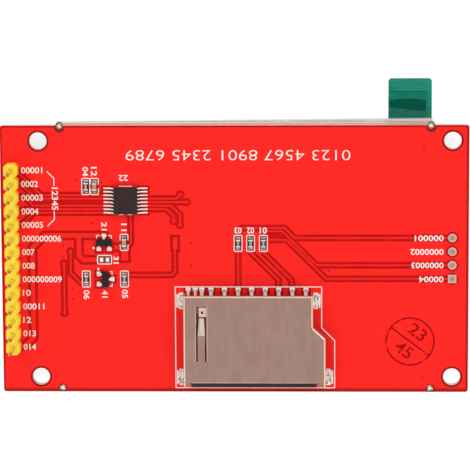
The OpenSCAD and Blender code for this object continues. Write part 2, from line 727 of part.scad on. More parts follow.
// Tinned pads, with their holes filled a little below the surface
module sd_pad_solder() color([0.78, 0.77, 0.75]) for (i = [0:sd_pad_count - 1])
    translate([sd_pad_x, sd_pad_y - i * pin_pitch, 0]) {
        translate([0, 0, face_z]) linear_extrude(pad_t) difference() {
            if (i == sd_pad_count - 1) square(sd_pad_d - 0.05, center = true);
            else circle(d = sd_pad_d);
            circle(d = sd_pad_hole_d);
        }
        translate([0, 0, board_z - pad_t]) cylinder(d = sd_pad_hole_d, h = board_t);
        translate([0, 0, board_z - pad_t]) linear_extrude(pad_t) difference() {
            circle(d = sd_pad_d);
            circle(d = sd_pad_hole_d);
        }
    }

// ---- Chips ----

// A moulded body with drafted sides, parted at half height
module moulded_body(l, w, low, high, draft) intersection() {
    across(l) body_view(w, low, high, draft);
    rotate(90) across(w) body_view(l, low, high, draft);
}

module body_view(w, low, high, draft) {
    mid = (low + high) / 2;
    polygon([[-w / 2 + draft, low], [w / 2 - draft, low], [w / 2, mid], [w / 2 - draft, high],
             [draft - w / 2, high], [-w / 2, mid]]);
}

body_lift = 0.08;

module touch_controller_body() color([0.2, 0.15, 0.15]) on_board(controller_at) difference() {
    moulded_body(controller_w, controller_l, body_lift, controller_h, 0.08);
    translate([-controller_w / 2 + 0.75, controller_l / 2 - 0.75, controller_h - 0.06])
        cylinder(d = 0.6, h = 1);
}

// Gull-wing lead out of a body whose side is at Y = 0
lead_bury = 0.04;
module gull_lead(width, thick, exit_z, reach)
    across(width) polygon(strip(
        [[-lead_bury, exit_z], [reach * 0.22, exit_z], [reach * 0.5, thick / 2],
         [reach, thick / 2]], thick));

module touch_controller_leads() color([0.78, 0.75, 0.72]) on_board(controller_at)
    for (side = [-1, 1], i = [0:lead_count - 1])
        translate([side * (controller_w / 2 + lead_bury), lead_y(i), 0]) rotate(-90 * side)
            gull_lead(lead_w, lead_t, (body_lift + controller_h) / 2, lead_reach);

module small_body() moulded_body(small_l, small_w, body_lift, small_body_h, 0.07);

module small_leads() for (at = small_lead_at)
    translate([at[0], at[1] * (small_w / 2 + lead_bury), 0]) rotate(at[1] > 0 ? 0 : 180)
        gull_lead(small_lead_w, small_lead_t, (body_lift + small_body_h) / 2, small_lead_reach);

module regulator_body() color([0.2, 0.15, 0.15]) on_board(regulator_at) small_body();
module regulator_leads() color([0.78, 0.75, 0.72]) on_board(regulator_at) small_leads();
module transistor_body() color([0.2, 0.15, 0.15]) on_board(transistor_at, -90) small_body();
module transistor_leads() color([0.78, 0.75, 0.72]) on_board(transistor_at, -90) small_leads();

// A chip with metal ends that stand a little proud of its body
chip_proud = 0.02;
module chip(h) {
    centred([chip_w - 2 * chip_proud, chip_l - chip_end], chip_proud, h - 2 * chip_proud);
    for (side = [-1, 1])
        translate([0, side * (chip_l - chip_end) / 2, 0]) centred([chip_w, chip_end], 0, h);
}

module resistor(i) color([0.15, 0.13, 0.14]) on_board(resistor_at[i - 1]) chip(resistor_h);
module capacitor(i) color([0.67, 0.55, 0.4]) on_board(capacitor_at[i - 1]) chip(capacitor_h);

chip_toe_l = 0.42;
small_toe_l = 0.35;
small_toe_h = 0.2;
lead_toe_l = 0.8;
module chip_toes(h) for (side = [0, 180])
    rotate(side) translate([0, chip_l / 2, 0]) solder_toe(chip_w, chip_toe_l, h);

module small_toes() for (at = small_lead_at)
    translate([at[0], at[1] * (small_w / 2 + lead_bury + small_lead_reach), 0])
        rotate(at[1] > 0 ? 0 : 180)
            solder_cup(small_pad[0] - 0.1, small_toe_l, small_toe_h, small_lead_w, small_lead_t,
                       small_lead_reach / 2);

module component_solder() color([0.88, 0.87, 0.85]) {
    for (at = resistor_at) on_board(at) chip_toes(resistor_h * 0.85);
    for (at = capacitor_at) on_board(at) chip_toes(capacitor_h * 0.6);
    on_board(regulator_at) small_toes();
    on_board(transistor_at, -90) small_toes();
    on_board(controller_at) for (side = [-1, 1], i = [0:lead_count - 1])
        translate([side * (controller_w / 2 + lead_bury + lead_reach), lead_y(i), 0])
            rotate(-90 * side) solder_toe(lead_w + 0.08, lead_toe_l, lead_t);
}

// A low swell of solder on each jumper pad
swell_h = 0.12;
swell_r = 0.87;
module jumper_pads() color([0.85, 0.84, 0.82]) on_board(jumper_at) for (side = [-1, 1])
    translate([side * jumper_pitch / 2, 0, 0]) intersection() {
        centred(jumper_pad, 0, swell_h);
        rotate([90, 0, 0]) translate([0, swell_h - swell_r, 0])
            cylinder(r = swell_r, h = 2 * jumper_pad[1], center = true);
    }

// ---- Display ----

frame_in_l = frame_l - 2 * frame_t;
frame_in_w = frame_w - 2 * frame_t;
mould_gap = 0.05;
mould_l = frame_in_l - 2 * mould_gap;
mould_w = frame_in_w - 2 * mould_gap;
// Glass pocket and film pocket of the moulded frame, low and high X
part_gap = 0.1;
tft_x = [1.2 - frame_l / 2, frame_l / 2 - 1];
tft_w = frame_w - 1.8;
filter_x0 = tft_x[0] + 4.4;
optic_x = [filter_x0 + 0.4, tft_x[1] - 1.1];
optic_w = frame_w - 3.4;
pocket_x0 = optic_x[0] - 3;
// Two strips of foam tape, the touch tail beside one of them, and the display tail between
foam_size = [frame_l - 9.2, 7];
foam_edge = 2;
foam_y = frame_w / 2 - foam_edge - foam_size[1] / 2;
tail_w = 3.5;
tail_foam_gap = 1.48;
tail_gap = 1.62;
tail_y = display_dy + foam_y - foam_size[1] / 2 - tail_foam_gap - tail_w / 2;
flex_w = 2 * (tail_y - tail_w / 2 - tail_gap - display_dy);
flex_gap = 0.3;
// Snaps of the moulded frame, in windows of the metal frame's long walls
snap_x = [-19.5, 7.3, 23.7];
snap_l = 2.6;
snap_h = 1.1;
snap_z = front_polariser_z + 0.5;
// How far a leg stands above the board, in a dome of solder
leg_reach = 0.3;
dome_h = 0.5;
dome_r = 0.66;
plug_h = 1;

module sheet_between(xs, w, z, t) block([xs[0], -w / 2, z], [xs[1], w / 2, z + t]);

module snap_places() for (x = snap_x, side = [-1, 1])
    translate([x, side * (frame_w / 2 - frame_t / 2), snap_z]) children();

module display_frame() color([0.8, 0.8, 0.8]) on_display() {
    difference() {
        centred([frame_l, frame_w], front_polariser_z, foam_z - front_polariser_z);
        centred([frame_in_l, frame_in_w], front_polariser_z - cut,
                frame_back_z - front_polariser_z + cut);
        // Open end for the flexible tail
        block([-frame_l / 2 - cut, -flex_w / 2 - flex_gap, front_polariser_z - cut],
              [-frame_l / 2 + frame_t + mould_gap, flex_w / 2 + flex_gap, foam_z + cut]);
        snap_places() centred([snap_l, 2 * frame_t], 0, snap_h);
    }
    // Legs up the long walls to the solder
    for (x = [-1, 1], y = [-1, 1])
        translate([x * leg_x, y * (frame_w - frame_t) / 2, 0])
            centred([leg_w, frame_t], frame_back_z, face_z + leg_reach - frame_back_z);
}

// Solder in each half hole, domed round the leg that it holds
module frame_leg_solder() color([0.82, 0.82, 0.8]) for (x = [-1, 1], y = [-1, 1])
    translate([x * leg_x, 0, 0]) difference() {
        union() {
            intersection() {
                translate([0, y * notch_y, face_z - plug_h]) cylinder(d = notch_d, h = plug_h);
                centred([2 * notch_d, 2 * board_y1], face_z - plug_h, plug_h);
            }
            translate([0, leg_y(y), face_z]) rotate_extrude()
                polygon([[0, 0], [dome_r, 0], [dome_r - 0.02, dome_h * 0.32],
                         [dome_r * 0.8, dome_h * 0.68], [dome_r * 0.45, dome_h * 0.94],
                         [0, dome_h]]);
        }
        translate([0, leg_y(y), 0]) centred([leg_w, frame_t], 0, face_z + leg_reach);
    }

module mould_frame() color([0.95, 0.95, 0.93]) on_display() {
    difference() {
        centred([mould_l, mould_w], front_polariser_z, frame_back_z - front_polariser_z);
        sheet_between([tft_x[0] - part_gap, tft_x[1] + part_gap], tft_w + 2 * part_gap,
                      front_polariser_z - cut, 2 * glass_t + polariser_t + cut);
        sheet_between([pocket_x0, optic_x[1] + part_gap], optic_w + 2 * part_gap,
                      rear_polariser_z - cut, frame_back_z);
        // Way out for the flexible tail
        block([-mould_l, -flex_w / 2 - flex_gap, front_polariser_z - cut],
              [tft_x[0] + cut, flex_w / 2 + flex_gap, tft_glass_z + 0.03]);
    }
    for (x = snap_x, side = [-1, 1])
        translate([x, side * (mould_w / 2 + mould_gap + frame_t / 4 - 0.05), 0])
            centred([snap_l - 0.2, mould_gap + frame_t / 2 + 0.1], snap_z + 0.1, snap_h - 0.2);
}

module reflector_sheet() color([0.97, 0.97, 0.97]) on_display()
    sheet_between(optic_x, optic_w, reflector_z, reflector_t);
module light_guide() color([0.9, 0.95, 0.97]) on_display()
    sheet_between(optic_x, optic_w, guide_z, guide_t);
module optic_film(level, shade) color(shade) on_display()
    sheet_between(optic_x, optic_w, optics_z + level * optic_film_t, optic_film_t);
module upper_diffuser() optic_film(0, [0.93, 0.93, 0.95]);
module upper_prism_film() optic_film(1, [0.85, 0.88, 0.92]);
module lower_prism_film() optic_film(2, [0.82, 0.86, 0.9]);
module lower_diffuser() optic_film(3, [0.95, 0.95, 0.95]);

// Lamps stand on a flexible strip at the tail end of the light guide
led_size = [0.6, 3, 0.6];
led_pitch = 9;
led_strip_t = 0.1;
module led_strip() color([0.85, 0.6, 0.2]) on_display()
    sheet_between([pocket_x0 + part_gap, optic_x[0]], optic_w - 4, frame_back_z - led_strip_t,
                  led_strip_t);
module backlight_leds() color([0.98, 0.93, 0.7]) on_display()
    for (i = [0:led_count - 1])
        translate([optic_x[0] - led_size[0] / 2, (i - (led_count - 1) / 2) * led_pitch, 0])
            centred([led_size[0], led_size[1]], frame_back_z - led_strip_t - led_size[2],
                    led_size[2]);

module rear_polariser() color([0.4, 0.42, 0.4]) on_display()
    sheet_between([optic_x[0] + 0.4, optic_x[1] - 0.4], optic_w - 0.6, rear_polariser_z,
                  polariser_t);
module tft_glass() color([0.75, 0.85, 0.85]) on_display()
    sheet_between(tft_x, tft_w, tft_glass_z, glass_t);
module colour_filter_glass() color([0.7, 0.8, 0.82]) on_display()
    sheet_between([filter_x0, tft_x[1]], tft_w, filter_glass_z, glass_t);
module front_polariser() color([0.2, 0.2, 0.22]) on_display()
    sheet_between([filter_x0 + 0.4, tft_x[1] - 0.6], tft_w - 1.2, front_polariser_z, polariser_t);
chip_on_glass = [1.1, flex_w];
module driver_chip() color([0.25, 0.25, 0.3]) on_display()
    translate([filter_x0 - 1.2 - chip_on_glass[0] / 2, 0, 0])
        centred(chip_on_glass, tft_glass_z - 0.3, 0.3);

// A flexible tail leaves one level, bends back past the end of the display and is soldered
// down on the board's screen side
tail_seat_l = 4;
tail_drop = 0.24;
tail_ramp_l = 0.8;
function half_turn(x, z0, z1) =
    [for (a = [-90:-15:-270]) [x, (z0 + z1) / 2] + (z1 - z0) / 2 * [cos(a), sin(a)]];
module tail(x_start, z0, x_bend, x_end, width, t) rotate([90, 0, 0])
    linear_extrude(width, center = true) polygon(strip(concat(
        [[x_start, z0]], half_turn(x_bend, z0, board_z - tail_drop),
        [[x_end - tail_seat_l - tail_ramp_l, board_z - tail_drop],
         [x_end - tail_seat_l, board_z - t / 2], [x_end, board_z - t / 2]]), t));

module display_flex() color([0.85, 0.55, 0.2]) on_display()
    tail(tft_x[0] + 1.2, tft_glass_z - flex_t / 2, 0.2 - frame_l / 2, 17.6 - frame_l / 2, flex_w,
         flex_t);

// Foam tape holds the display to the board, each side of the tails
module foam_tape() color([0.2, 0.2, 0.2]) on_display() for (side = [-1, 1])
    translate([1, side * foam_y, 0]) centred(foam_size, foam_z, foam_t);

// ---- Touch panel and screen film ----

touch_border = 2.2;

module ring(size, border, z, t) translate([0, 0, z]) linear_extrude(t) difference() {
    square(size, center = true);
    square([size[0] - 2 * border, size[1] - 2 * border], center = true);
}

module panel_tape() color([0.1, 0.1, 0.1]) on_touch()
    ring([touch_l - 1.2, touch_w - 1.8], touch_border, panel_tape_z, panel_tape_t);
module touch_glass() color([0.8, 0.92, 0.9]) on_touch()
    centred([touch_l, touch_w], touch_glass_z, touch_glass_t);
module touch_spacer() color([0.9, 0.9, 0.88]) on_touch() difference() {
    ring([touch_l, touch_w], touch_border, touch_gap_z, touch_gap);
    block([-touch_l / 2 - cut, tail_y - tail_w / 2 - 0.6, 0],
          [-touch_l / 2 + touch_border - 0.4, tail_y + tail_w / 2 + 0.6, touch_glass_z + cut]);
}
module touch_film() color([0.85, 0.9, 0.9]) on_touch() translate([0, 0, touch_film_z])
    linear_extrude(touch_film_t) rounded([touch_l, touch_w], 0.6);
// The touch tail is thin enough to fit between film and glass, and clears the display frame
tail_bend_x = max(touch_l, frame_l) / 2 + 0.9;
module touch_flex() color([0.85, 0.55, 0.2]) translate([0, tail_y, 0])
    tail(1.5 - touch_l / 2, touch_gap_z + touch_gap / 2, -tail_bend_x, 8.2 - touch_l / 2, tail_w,
         touch_gap);

film_margin = 0.3;
module screen_film() color([0.85, 0.95, 1]) difference() {
    on_touch() linear_extrude(film_t)
        rounded([touch_l - 2 * film_margin, touch_w - 2 * film_margin], 1);
    translate([0, 0, -cut]) linear_extrude(cut + tab_t) tab_outline(tab_seat_gap);
}

// Pull tab, pressed into the corner of the film, with its corners rounded
tab_end_gap = 0.32;
tab_lap = 6;
tab_r = 0.6;
tab_seat_gap = 0.02;
module tab_outline(grow = 0)
    translate([touch_l / 2 - tab_end_gap - tab_w / 2,
               touch_dy + touch_w / 2 + (tab_reach - tab_lap) / 2])
        rounded([tab_w + 2 * grow, tab_reach + tab_lap + 2 * grow], tab_r + grow);

module pull_tab() color([0.1, 0.5, 0.43]) linear_extrude(tab_t) tab_outline();

// ---- Nodes ----

circuit_board();
silkscreen();
header_housing();
header_pins();
header_solder();
sd_shell();
sd_base();
sd_contacts();
sd_switch_contacts();
sd_solder();
sd_pad_solder();
touch_controller_body();
touch_controller_leads();
regulator_body();
regulator_leads();
transistor_body();
transistor_leads();
component_solder();
jumper_pads();
capacitor(1);  // capacitor_1
capacitor(2);  // capacitor_2
resistor(1);  // resistor_1
resistor(2);  // resistor_2
resistor(3);  // resistor_3
resistor(4);  // resistor_4
resistor(5);  // resistor_5
resistor(6);  // resistor_6
display_frame();
frame_leg_solder();
mould_frame();
reflector_sheet();
light_guide();
lower_diffuser();
lower_prism_film();
upper_prism_film();
upper_diffuser();
led_strip();
backlight_leds();
rear_polariser();
tft_glass();
colour_filter_glass();
front_polariser();
driver_chip();
display_flex();
foam_tape();
panel_tape();
touch_glass();
touch_spacer();
touch_film();
touch_flex();
screen_film();
pull_tab();
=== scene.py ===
"""Finishes, printed numbers, stamp and studio for the display module."""
import math

import bpy
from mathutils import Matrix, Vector


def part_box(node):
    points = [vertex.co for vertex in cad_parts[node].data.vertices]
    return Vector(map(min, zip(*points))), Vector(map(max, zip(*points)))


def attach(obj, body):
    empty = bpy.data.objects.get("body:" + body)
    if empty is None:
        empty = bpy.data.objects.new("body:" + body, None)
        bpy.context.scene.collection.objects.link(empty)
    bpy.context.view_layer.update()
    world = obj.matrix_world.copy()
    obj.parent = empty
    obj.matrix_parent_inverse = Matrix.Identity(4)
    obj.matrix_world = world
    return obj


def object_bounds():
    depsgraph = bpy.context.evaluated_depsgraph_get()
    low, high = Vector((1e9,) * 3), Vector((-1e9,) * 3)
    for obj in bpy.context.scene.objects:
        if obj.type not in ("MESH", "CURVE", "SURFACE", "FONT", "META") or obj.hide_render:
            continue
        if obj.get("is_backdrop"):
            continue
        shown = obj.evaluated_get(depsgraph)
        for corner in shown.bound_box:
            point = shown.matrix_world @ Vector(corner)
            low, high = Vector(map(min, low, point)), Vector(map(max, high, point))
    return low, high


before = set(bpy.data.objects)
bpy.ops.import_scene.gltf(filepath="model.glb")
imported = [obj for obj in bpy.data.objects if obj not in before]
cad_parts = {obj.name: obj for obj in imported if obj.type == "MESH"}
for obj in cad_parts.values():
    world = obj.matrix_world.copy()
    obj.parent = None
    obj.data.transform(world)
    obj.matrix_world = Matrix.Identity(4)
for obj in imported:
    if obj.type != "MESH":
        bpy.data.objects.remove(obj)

bl_info = {
    "name": "Display Module Finishes",
    "version": (1, 0, 0),
    "blender": (4, 5, 0),
    "location": "View3D > Sidebar > Module",
    "description": "Finishes, printed numbers and studio of the display module",
    "category": "Object",
}

MM = 0.001
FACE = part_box("touch_controller_leads")[0].z
BOARD_LOW, BOARD_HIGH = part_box("circuit_board")
SHELL_LOW, SHELL_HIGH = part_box("sd_shell")
TAB_LOW, TAB_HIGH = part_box("pull_tab")
TAB_FREE = TAB_HIGH.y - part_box("touch_glass")[1].y
RESISTORS = [f"resistor_{index}" for index in range(1, 7)]
CAPACITORS = ["capacitor_1", "capacitor_2"]
# Length of a small chip's tinned ends
CHIP_END = 0.32 * MM
# Pitches of the header's pins and card pads, the card contacts and the controller's leads
PIN_PITCH = 2.54 * MM
CONTACT_PITCH = 2.5 * MM
LEAD_PITCH = 0.65 * MM
# Distance of the mounting holes from the origin, along and across the board
HOLE_REACH = (38 * MM, 22 * MM)
# Middles of the windows in the long wall of the display's frame, in millimetres
WINDOWS = (-19.5, 7.3, 23.7)
# Walls of the shell along the board; its box also takes in the tabs at its foot
SHELL_TAB = 1.05 * MM
SHELL_LEFT = SHELL_LOW.x + SHELL_TAB
SHELL_RIGHT = SHELL_HIGH.x - SHELL_TAB
SHELL_STEP = 2.3 * MM
# The leaf spring's opening, sloping part and head: low and high X, then low and high Y
LEAF_OPENING = (SHELL_LEFT + 2.35 * MM, SHELL_LEFT + 4.3 * MM,
                SHELL_HIGH.y - 12.2 * MM, SHELL_HIGH.y - 1.95 * MM)
LEAF_SLOPE = (SHELL_LEFT + 3.07 * MM, SHELL_LEFT + 3.9 * MM,
              SHELL_HIGH.y - 7.35 * MM, SHELL_HIGH.y - 4.2 * MM)
LEAF_HEAD = (SHELL_LEFT + 2.9 * MM, SHELL_LEFT + 4.25 * MM,
             SHELL_HIGH.y - 3.9 * MM, SHELL_HIGH.y - 2.15 * MM)


def rgb(red, green, blue):
    """A colour as a screen shows it, 0 to 255, turned into the linear values that shaders use."""
    def linear(value):
        value /= 255
        return value / 12.92 if value <= 0.04045 else ((value + 0.055) / 1.055) ** 2.4
    return tuple(linear(value) for value in (red, green, blue))


def opaque(colour):
    """A colour with its alpha. What a node gives stays as it is."""
    return colour if isinstance(colour, bpy.types.NodeSocket) else (*colour, 1)


def toned(colour, share):
    """A colour made darker, or lighter where share is over 1."""
    return tuple(share * value for value in colour)


def colour_property(name, description, colour):
    return bpy.props.FloatVectorProperty(
        name=name, description=description, subtype="COLOR", size=3, min=0, max=1,
        default=rgb(*colour))


class ModuleSettings(bpy.types.PropertyGroup):
    mask_colour: colour_property(
        "Solder mask", "Colour of the board's face over copper", (255, 36, 30))
    channel_colour: colour_property(
        "Etched channel", "Colour of the board where its copper is etched away", (200, 14, 10))
    core_colour: colour_property(
        "Board core", "Colour of the cut edge of the board", (255, 220, 200))
    ink_colour: colour_property("Ink", "Colour of the printed ink", (255, 242, 236))
    header_colour: colour_property(
        "Header plastic", "Colour of the header's housing", (255, 226, 62))
    shell_colour: colour_property(
        "Socket shell", "Colour of the card socket's plated shell", (184, 147, 135))
    solder_colour: colour_property("Solder", "Colour of bright solder", (252, 247, 240))
    chip_colour: colour_property(
        "Chip plastic", "Colour of the moulded chip bodies", (50, 36, 34))
    tab_colour: colour_property("Pull tab", "Colour of the pull tab", (16, 122, 102))
    stamp_colour: colour_property(
        "Stamp ink", "Colour of the inspection stamp", (164, 0, 6))
    ink_height: bpy.props.FloatProperty(
        name="Ink height", description="Thickness of the printed numbers", default=0.02 * MM,
        min=0.005 * MM, max=0.05 * MM, unit="LENGTH", precision=6)
    stamp_radius: bpy.props.FloatProperty(
        name="Stamp radius", description="Radius of the inspection stamp's ring",
        default=4.55 * MM, min=3 * MM, max=5 * MM, unit="LENGTH", precision=5)
    stamp_line: bpy.props.FloatProperty(
        name="Stamp line", description="Width of the stamp's lines", default=0.3 * MM,
        min=0.1 * MM, max=0.5 * MM, unit="LENGTH", precision=5)
    via_dot: bpy.props.FloatProperty(
        name="Via dot", description="Diameter of a covered via's dimple", default=0.34 * MM,
        min=0.2 * MM, max=0.7 * MM, unit="LENGTH", precision=5)
    lamp_power: bpy.props.FloatProperty(
        name="Lamp power", description="Power of each studio lamp", default=0.62,
        min=0, max=10, unit="POWER")


def settings():
    return bpy.context.scene.module_settings


# ---- Finishes, built from shader nodes ----

class Nodes:
    """A material and its shader nodes. Its kind is the shader that comes last."""

    def __init__(self, name, kind):
        self.material = bpy.data.materials.new(name)
        self.material.use_nodes = True
        self.tree = self.material.node_tree
        self.tree.nodes.clear()
        output = self.tree.nodes.new("ShaderNodeOutputMaterial")
        self.shader = self.tree.nodes.new(kind)
        self.tree.links.new(self.shader.outputs[0], output.inputs["Surface"])

    def feed(self, socket, value):
        if isinstance(value, bpy.types.NodeSocket):
            self.tree.links.new(value, socket)
        else:
            socket.default_value = value

    def node(self, kind, **values):
        made = self.tree.nodes.new(kind)
        for key, value in values.items():
            self.feed(made.inputs[key.replace("_", " ")], value)
        return made

    def maths(self, kind, first, second=0.0):
        made = self.node("ShaderNodeMath")
        made.operation = kind
        self.feed(made.inputs[0], first)
        self.feed(made.inputs[1], second)
        return made.outputs[0]

    def plus(self, first, second):
        return self.maths("ADD", first, second)

    def minus(self, first, second):
        return self.maths("SUBTRACT", first, second)

    def without(self, value):
        """What is left of 1."""
        return self.minus(1.0, value)

    def times(self, first, second):
        return self.maths("MULTIPLY", first, second)

    def squared(self, value):
        return self.maths("POWER", value, 2)

    def distance(self, value):
        """How far a value is from 0, either way."""
        return self.maths("ABSOLUTE", value)

    def either(self, first, second):
        return self.maths("MAXIMUM", first, second)

    def blended(self, share, first, second, kind="MIX"):
        """Two colours blended. A Mix node keeps its colours in sockets 6 and 7, and gives 2."""
        made = self.node("ShaderNodeMix")
        made.data_type = "RGBA"
        made.blend_type = kind
        self.feed(made.inputs[0], share)
        self.feed(made.inputs[6], opaque(first))
        self.feed(made.inputs[7], opaque(second))
        return made.outputs[2]


class Finish(Nodes):
    """One finish. Its patterns read the piece's own coordinates, in metres."""

    def __init__(self, name, colour, roughness=0.5, metallic=0.0, **sockets):
        super().__init__(name, "ShaderNodeBsdfPrincipled")
        self.place = self.node("ShaderNodeTexCoord").outputs["Object"]
        self.axes = self.node("ShaderNodeSeparateXYZ", Vector=self.place).outputs
        self.colour = colour
        self.relief = None
        self.set("Base Color", opaque(colour))
        self.set("Roughness", roughness)
        self.set("Metallic", metallic)
        for socket, value in sockets.items():
            self.set(socket.replace("_", " "), value)

    def set(self, socket, value):
        self.feed(self.shader.inputs[socket], value)

    def grain(self, size, detail=2.0, stretch=(1, 1, 1)):
        """A soft random value, whose lumps are about size across."""
        moved = self.node("ShaderNodeMapping", Vector=self.place, Scale=stretch)
        noise = self.node("ShaderNodeTexNoise", Vector=moved.outputs[0], Scale=1 / size,
                          Detail=detail, Roughness=0.55)
        return noise.outputs[0]

    def cells(self, size):
        """A random pattern of cells, each about size across."""
        return self.node("ShaderNodeTexVoronoi", Vector=self.place,
                         Scale=1 / size).outputs["Distance"]

    def waves(self, size, axis, distortion=0.0):
        made = self.node("ShaderNodeTexWave", Vector=self.place, Scale=1 / size,
                         Distortion=distortion)
        made.bands_direction = axis
        return made.outputs[1]

    def scaled(self, value, low, high, to_low, to_high):
        """Turns low into to_low and high into to_high, and stops there."""
        return self.node("ShaderNodeMapRange", Value=value, From_Min=low, From_Max=high,
                         To_Min=to_low, To_Max=to_high).outputs[0]

    def step(self, value, low, high):
        """0 below low, 1 above high and smooth between."""
        made = self.node("ShaderNodeMapRange", Value=value, From_Min=low, From_Max=high)
        made.interpolation_type = "SMOOTHSTEP"
        return made.outputs[0]

    def band(self, value, low, high, edge):
        """1 between low and high, 0 outside, with edges that are edge wide."""
        return self.minus(self.step(value, low - edge / 2, low + edge / 2),
                          self.step(value, high - edge / 2, high + edge / 2))

    def within(self, left, right, front, back, edge):
        """1 over a box in plan and 0 outside it, with edges that are edge wide."""
        return self.times(self.band(self.axes["X"], left, right, edge),
                          self.band(self.axes["Y"], front, back, edge))

    def over(self, node, aside, ahead, edge):
        """1 over a node's place in plan and a margin beside it and ahead of it."""
        low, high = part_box(node)
        return self.within(low.x - aside, high.x + aside, low.y - ahead, high.y + ahead, edge)

    def apart(self, across, along):
        """The length in plan of an offset with these two parts."""
        return self.maths("POWER", self.plus(self.squared(across), self.squared(along)), 0.5)

    def repeated(self, value, first, pitch):
        """The distance from the nearest of a row of places."""
        return self.maths("PINGPONG", self.minus(value, first), pitch / 2)

    def steepness(self):
        """0 where the surface lies flat, 1 where it stands upright."""
        facing = self.node("ShaderNodeNewGeometry").outputs["True Normal"]
        normal = self.node("ShaderNodeSeparateXYZ", Vector=facing)
        return self.without(self.distance(normal.outputs["Z"]))

    def upright(self):
        return self.step(self.steepness(), 0.4, 0.7)

    def paint(self, where, colour, strength=1.0):
        """Lays a colour over what is there, as strongly as where and strength say."""
        share = where if strength == 1.0 else self.times(where, strength)
        self.colour = self.blended(share, self.colour, colour)
        self.set("Base Color", self.colour)

    def mottle(self, size, spread, **options):
        """Makes the colour a little lighter and darker from place to place."""
        value = self.scaled(self.grain(size, **options), 0.25, 0.75, 1 - spread, 1 + spread)
        self.colour = self.blended(1.0, self.colour, value, "MULTIPLY")
        self.set("Base Color", self.colour)

    def rough(self, size, low, high, **options):
        self.set("Roughness", self.scaled(self.grain(size, **options), 0.3, 0.7, low, high))

    def bump(self, height, depth, strength=1.0):
        """Raises the surface by up to depth, in metres."""
        made = self.node("ShaderNodeBump", Height=height, Distance=depth, Strength=strength)
        if self.relief:
            self.feed(made.inputs["Normal"], self.relief)
        self.relief = made.outputs[0]
        self.set("Normal", self.relief)

    def wear(self, *names):
        """Puts the finish on CAD nodes or pieces."""
        for name in names:
            mesh = bpy.data.objects[name].data
            mesh.materials.clear()
            mesh.materials.append(self.material)


def solder_mask():
    own = settings()
    mask = Finish("solder_mask", own.mask_colour, 0.36, Specular_IOR_Level=0.12)
    across, along, height = (mask.axes[axis] for axis in "XYZ")
    mask.mottle(18 * MM, 0.025)
    mask.mottle(0.7 * MM, 0.02, detail=3)
    etched = mask.without(mask.step(height, FACE - 0.03 * MM, FACE - 0.015 * MM))
    mask.paint(etched, mask.blended(mask.step(mask.grain(2.2 * MM, detail=3), 0.35, 0.7),
                                    own.channel_colour, toned(own.channel_colour, 0.8)))
    # Bare bands along the near and right edges, and bare rings round the mounting holes darkened
    # with painted shade, where the hole walls fall into shadow
    bands = mask.either(
        mask.without(mask.step(along, BOARD_LOW.y + 0.62 * MM, BOARD_LOW.y + 0.74 * MM)),
        mask.step(across, BOARD_HIGH.x - 0.66 * MM, BOARD_HIGH.x - 0.3 * MM))
    mask.paint(bands, rgb(178, 22, 14), 0.85)
    hole = mask.apart(mask.minus(mask.distance(across), HOLE_REACH[0]),
                      mask.minus(mask.distance(along), HOLE_REACH[1]))
    mask.paint(mask.without(mask.step(hole, 1.9 * MM, 2.02 * MM)), rgb(128, 14, 10), 0.7)
    # Darker bare spots round the small chips, the jumper and between the controller's leads; round
    # the small chips the darkening is partly painted shade as well
    for name in RESISTORS + CAPACITORS:
        mask.paint(mask.over(name, 0.2 * MM, 0.52 * MM, 0.06 * MM), rgb(112, 26, 28), 0.85)
    for name, aside in (("touch_controller_leads", 0), ("jumper_pads", 0.18 * MM)):
        mask.paint(mask.over(name, aside, aside, 0.08 * MM), rgb(136, 18, 20), 0.75)
    # Little light reaches the board inside the card socket
    covered = mask.within(SHELL_LEFT + 1.2 * MM, SHELL_RIGHT - SHELL_STEP - 1.2 * MM,
                          SHELL_LOW.y + 1.2 * MM, SHELL_HIGH.y - 1.2 * MM, 0.6 * MM)
    mask.paint(covered, rgb(128, 86, 62), 0.92)
    # The cut edge and the hole walls show the woven core between two skins of mask
    wall = mask.times(mask.band(height, BOARD_LOW.z + 0.06 * MM, FACE - 0.09 * MM, 0.03 * MM),
                      mask.upright())
    mask.paint(wall, own.core_colour)
    mask.paint(mask.times(wall, mask.waves(0.19 * MM, "Z", 1.5)), toned(own.core_colour, 0.6), 0.3)
    mask.rough(3 * MM, 0.28, 0.42)
    mask.bump(mask.grain(0.45 * MM, detail=3), 0.006 * MM, 0.5)
    mask.bump(mask.grain(4 * MM), 0.02 * MM, 0.35)
    return mask


def printed_ink():
    ink = Finish("printed_ink", settings().ink_colour, 0.7)
    ink.mottle(0.5 * MM, 0.05, detail=3)
    ink.paint(ink.step(ink.grain(0.16 * MM, detail=3), 0.62, 0.74), rgb(250, 150, 140), 0.35)
    ink.bump(ink.grain(0.08 * MM, detail=2), 0.004 * MM, 0.6)
    return ink


def header_plastic():
    plastic = Finish("header_plastic", settings().header_colour, 0.42, Specular_IOR_Level=0.25)
    plastic.mottle(3 * MM, 0.05)
    plastic.mottle(0.5 * MM, 0.03, detail=4)
    # The corner cuts between the ways gather shade
    low = plastic.without(plastic.step(plastic.axes["Z"], FACE, FACE + 1.1 * MM))
    plastic.paint(low, rgb(226, 128, 22), 0.6)
    plastic.rough(0.8 * MM, 0.3, 0.5, detail=3)
    plastic.bump(plastic.grain(0.22 * MM, detail=4), 0.012 * MM, 0.6)
    return plastic


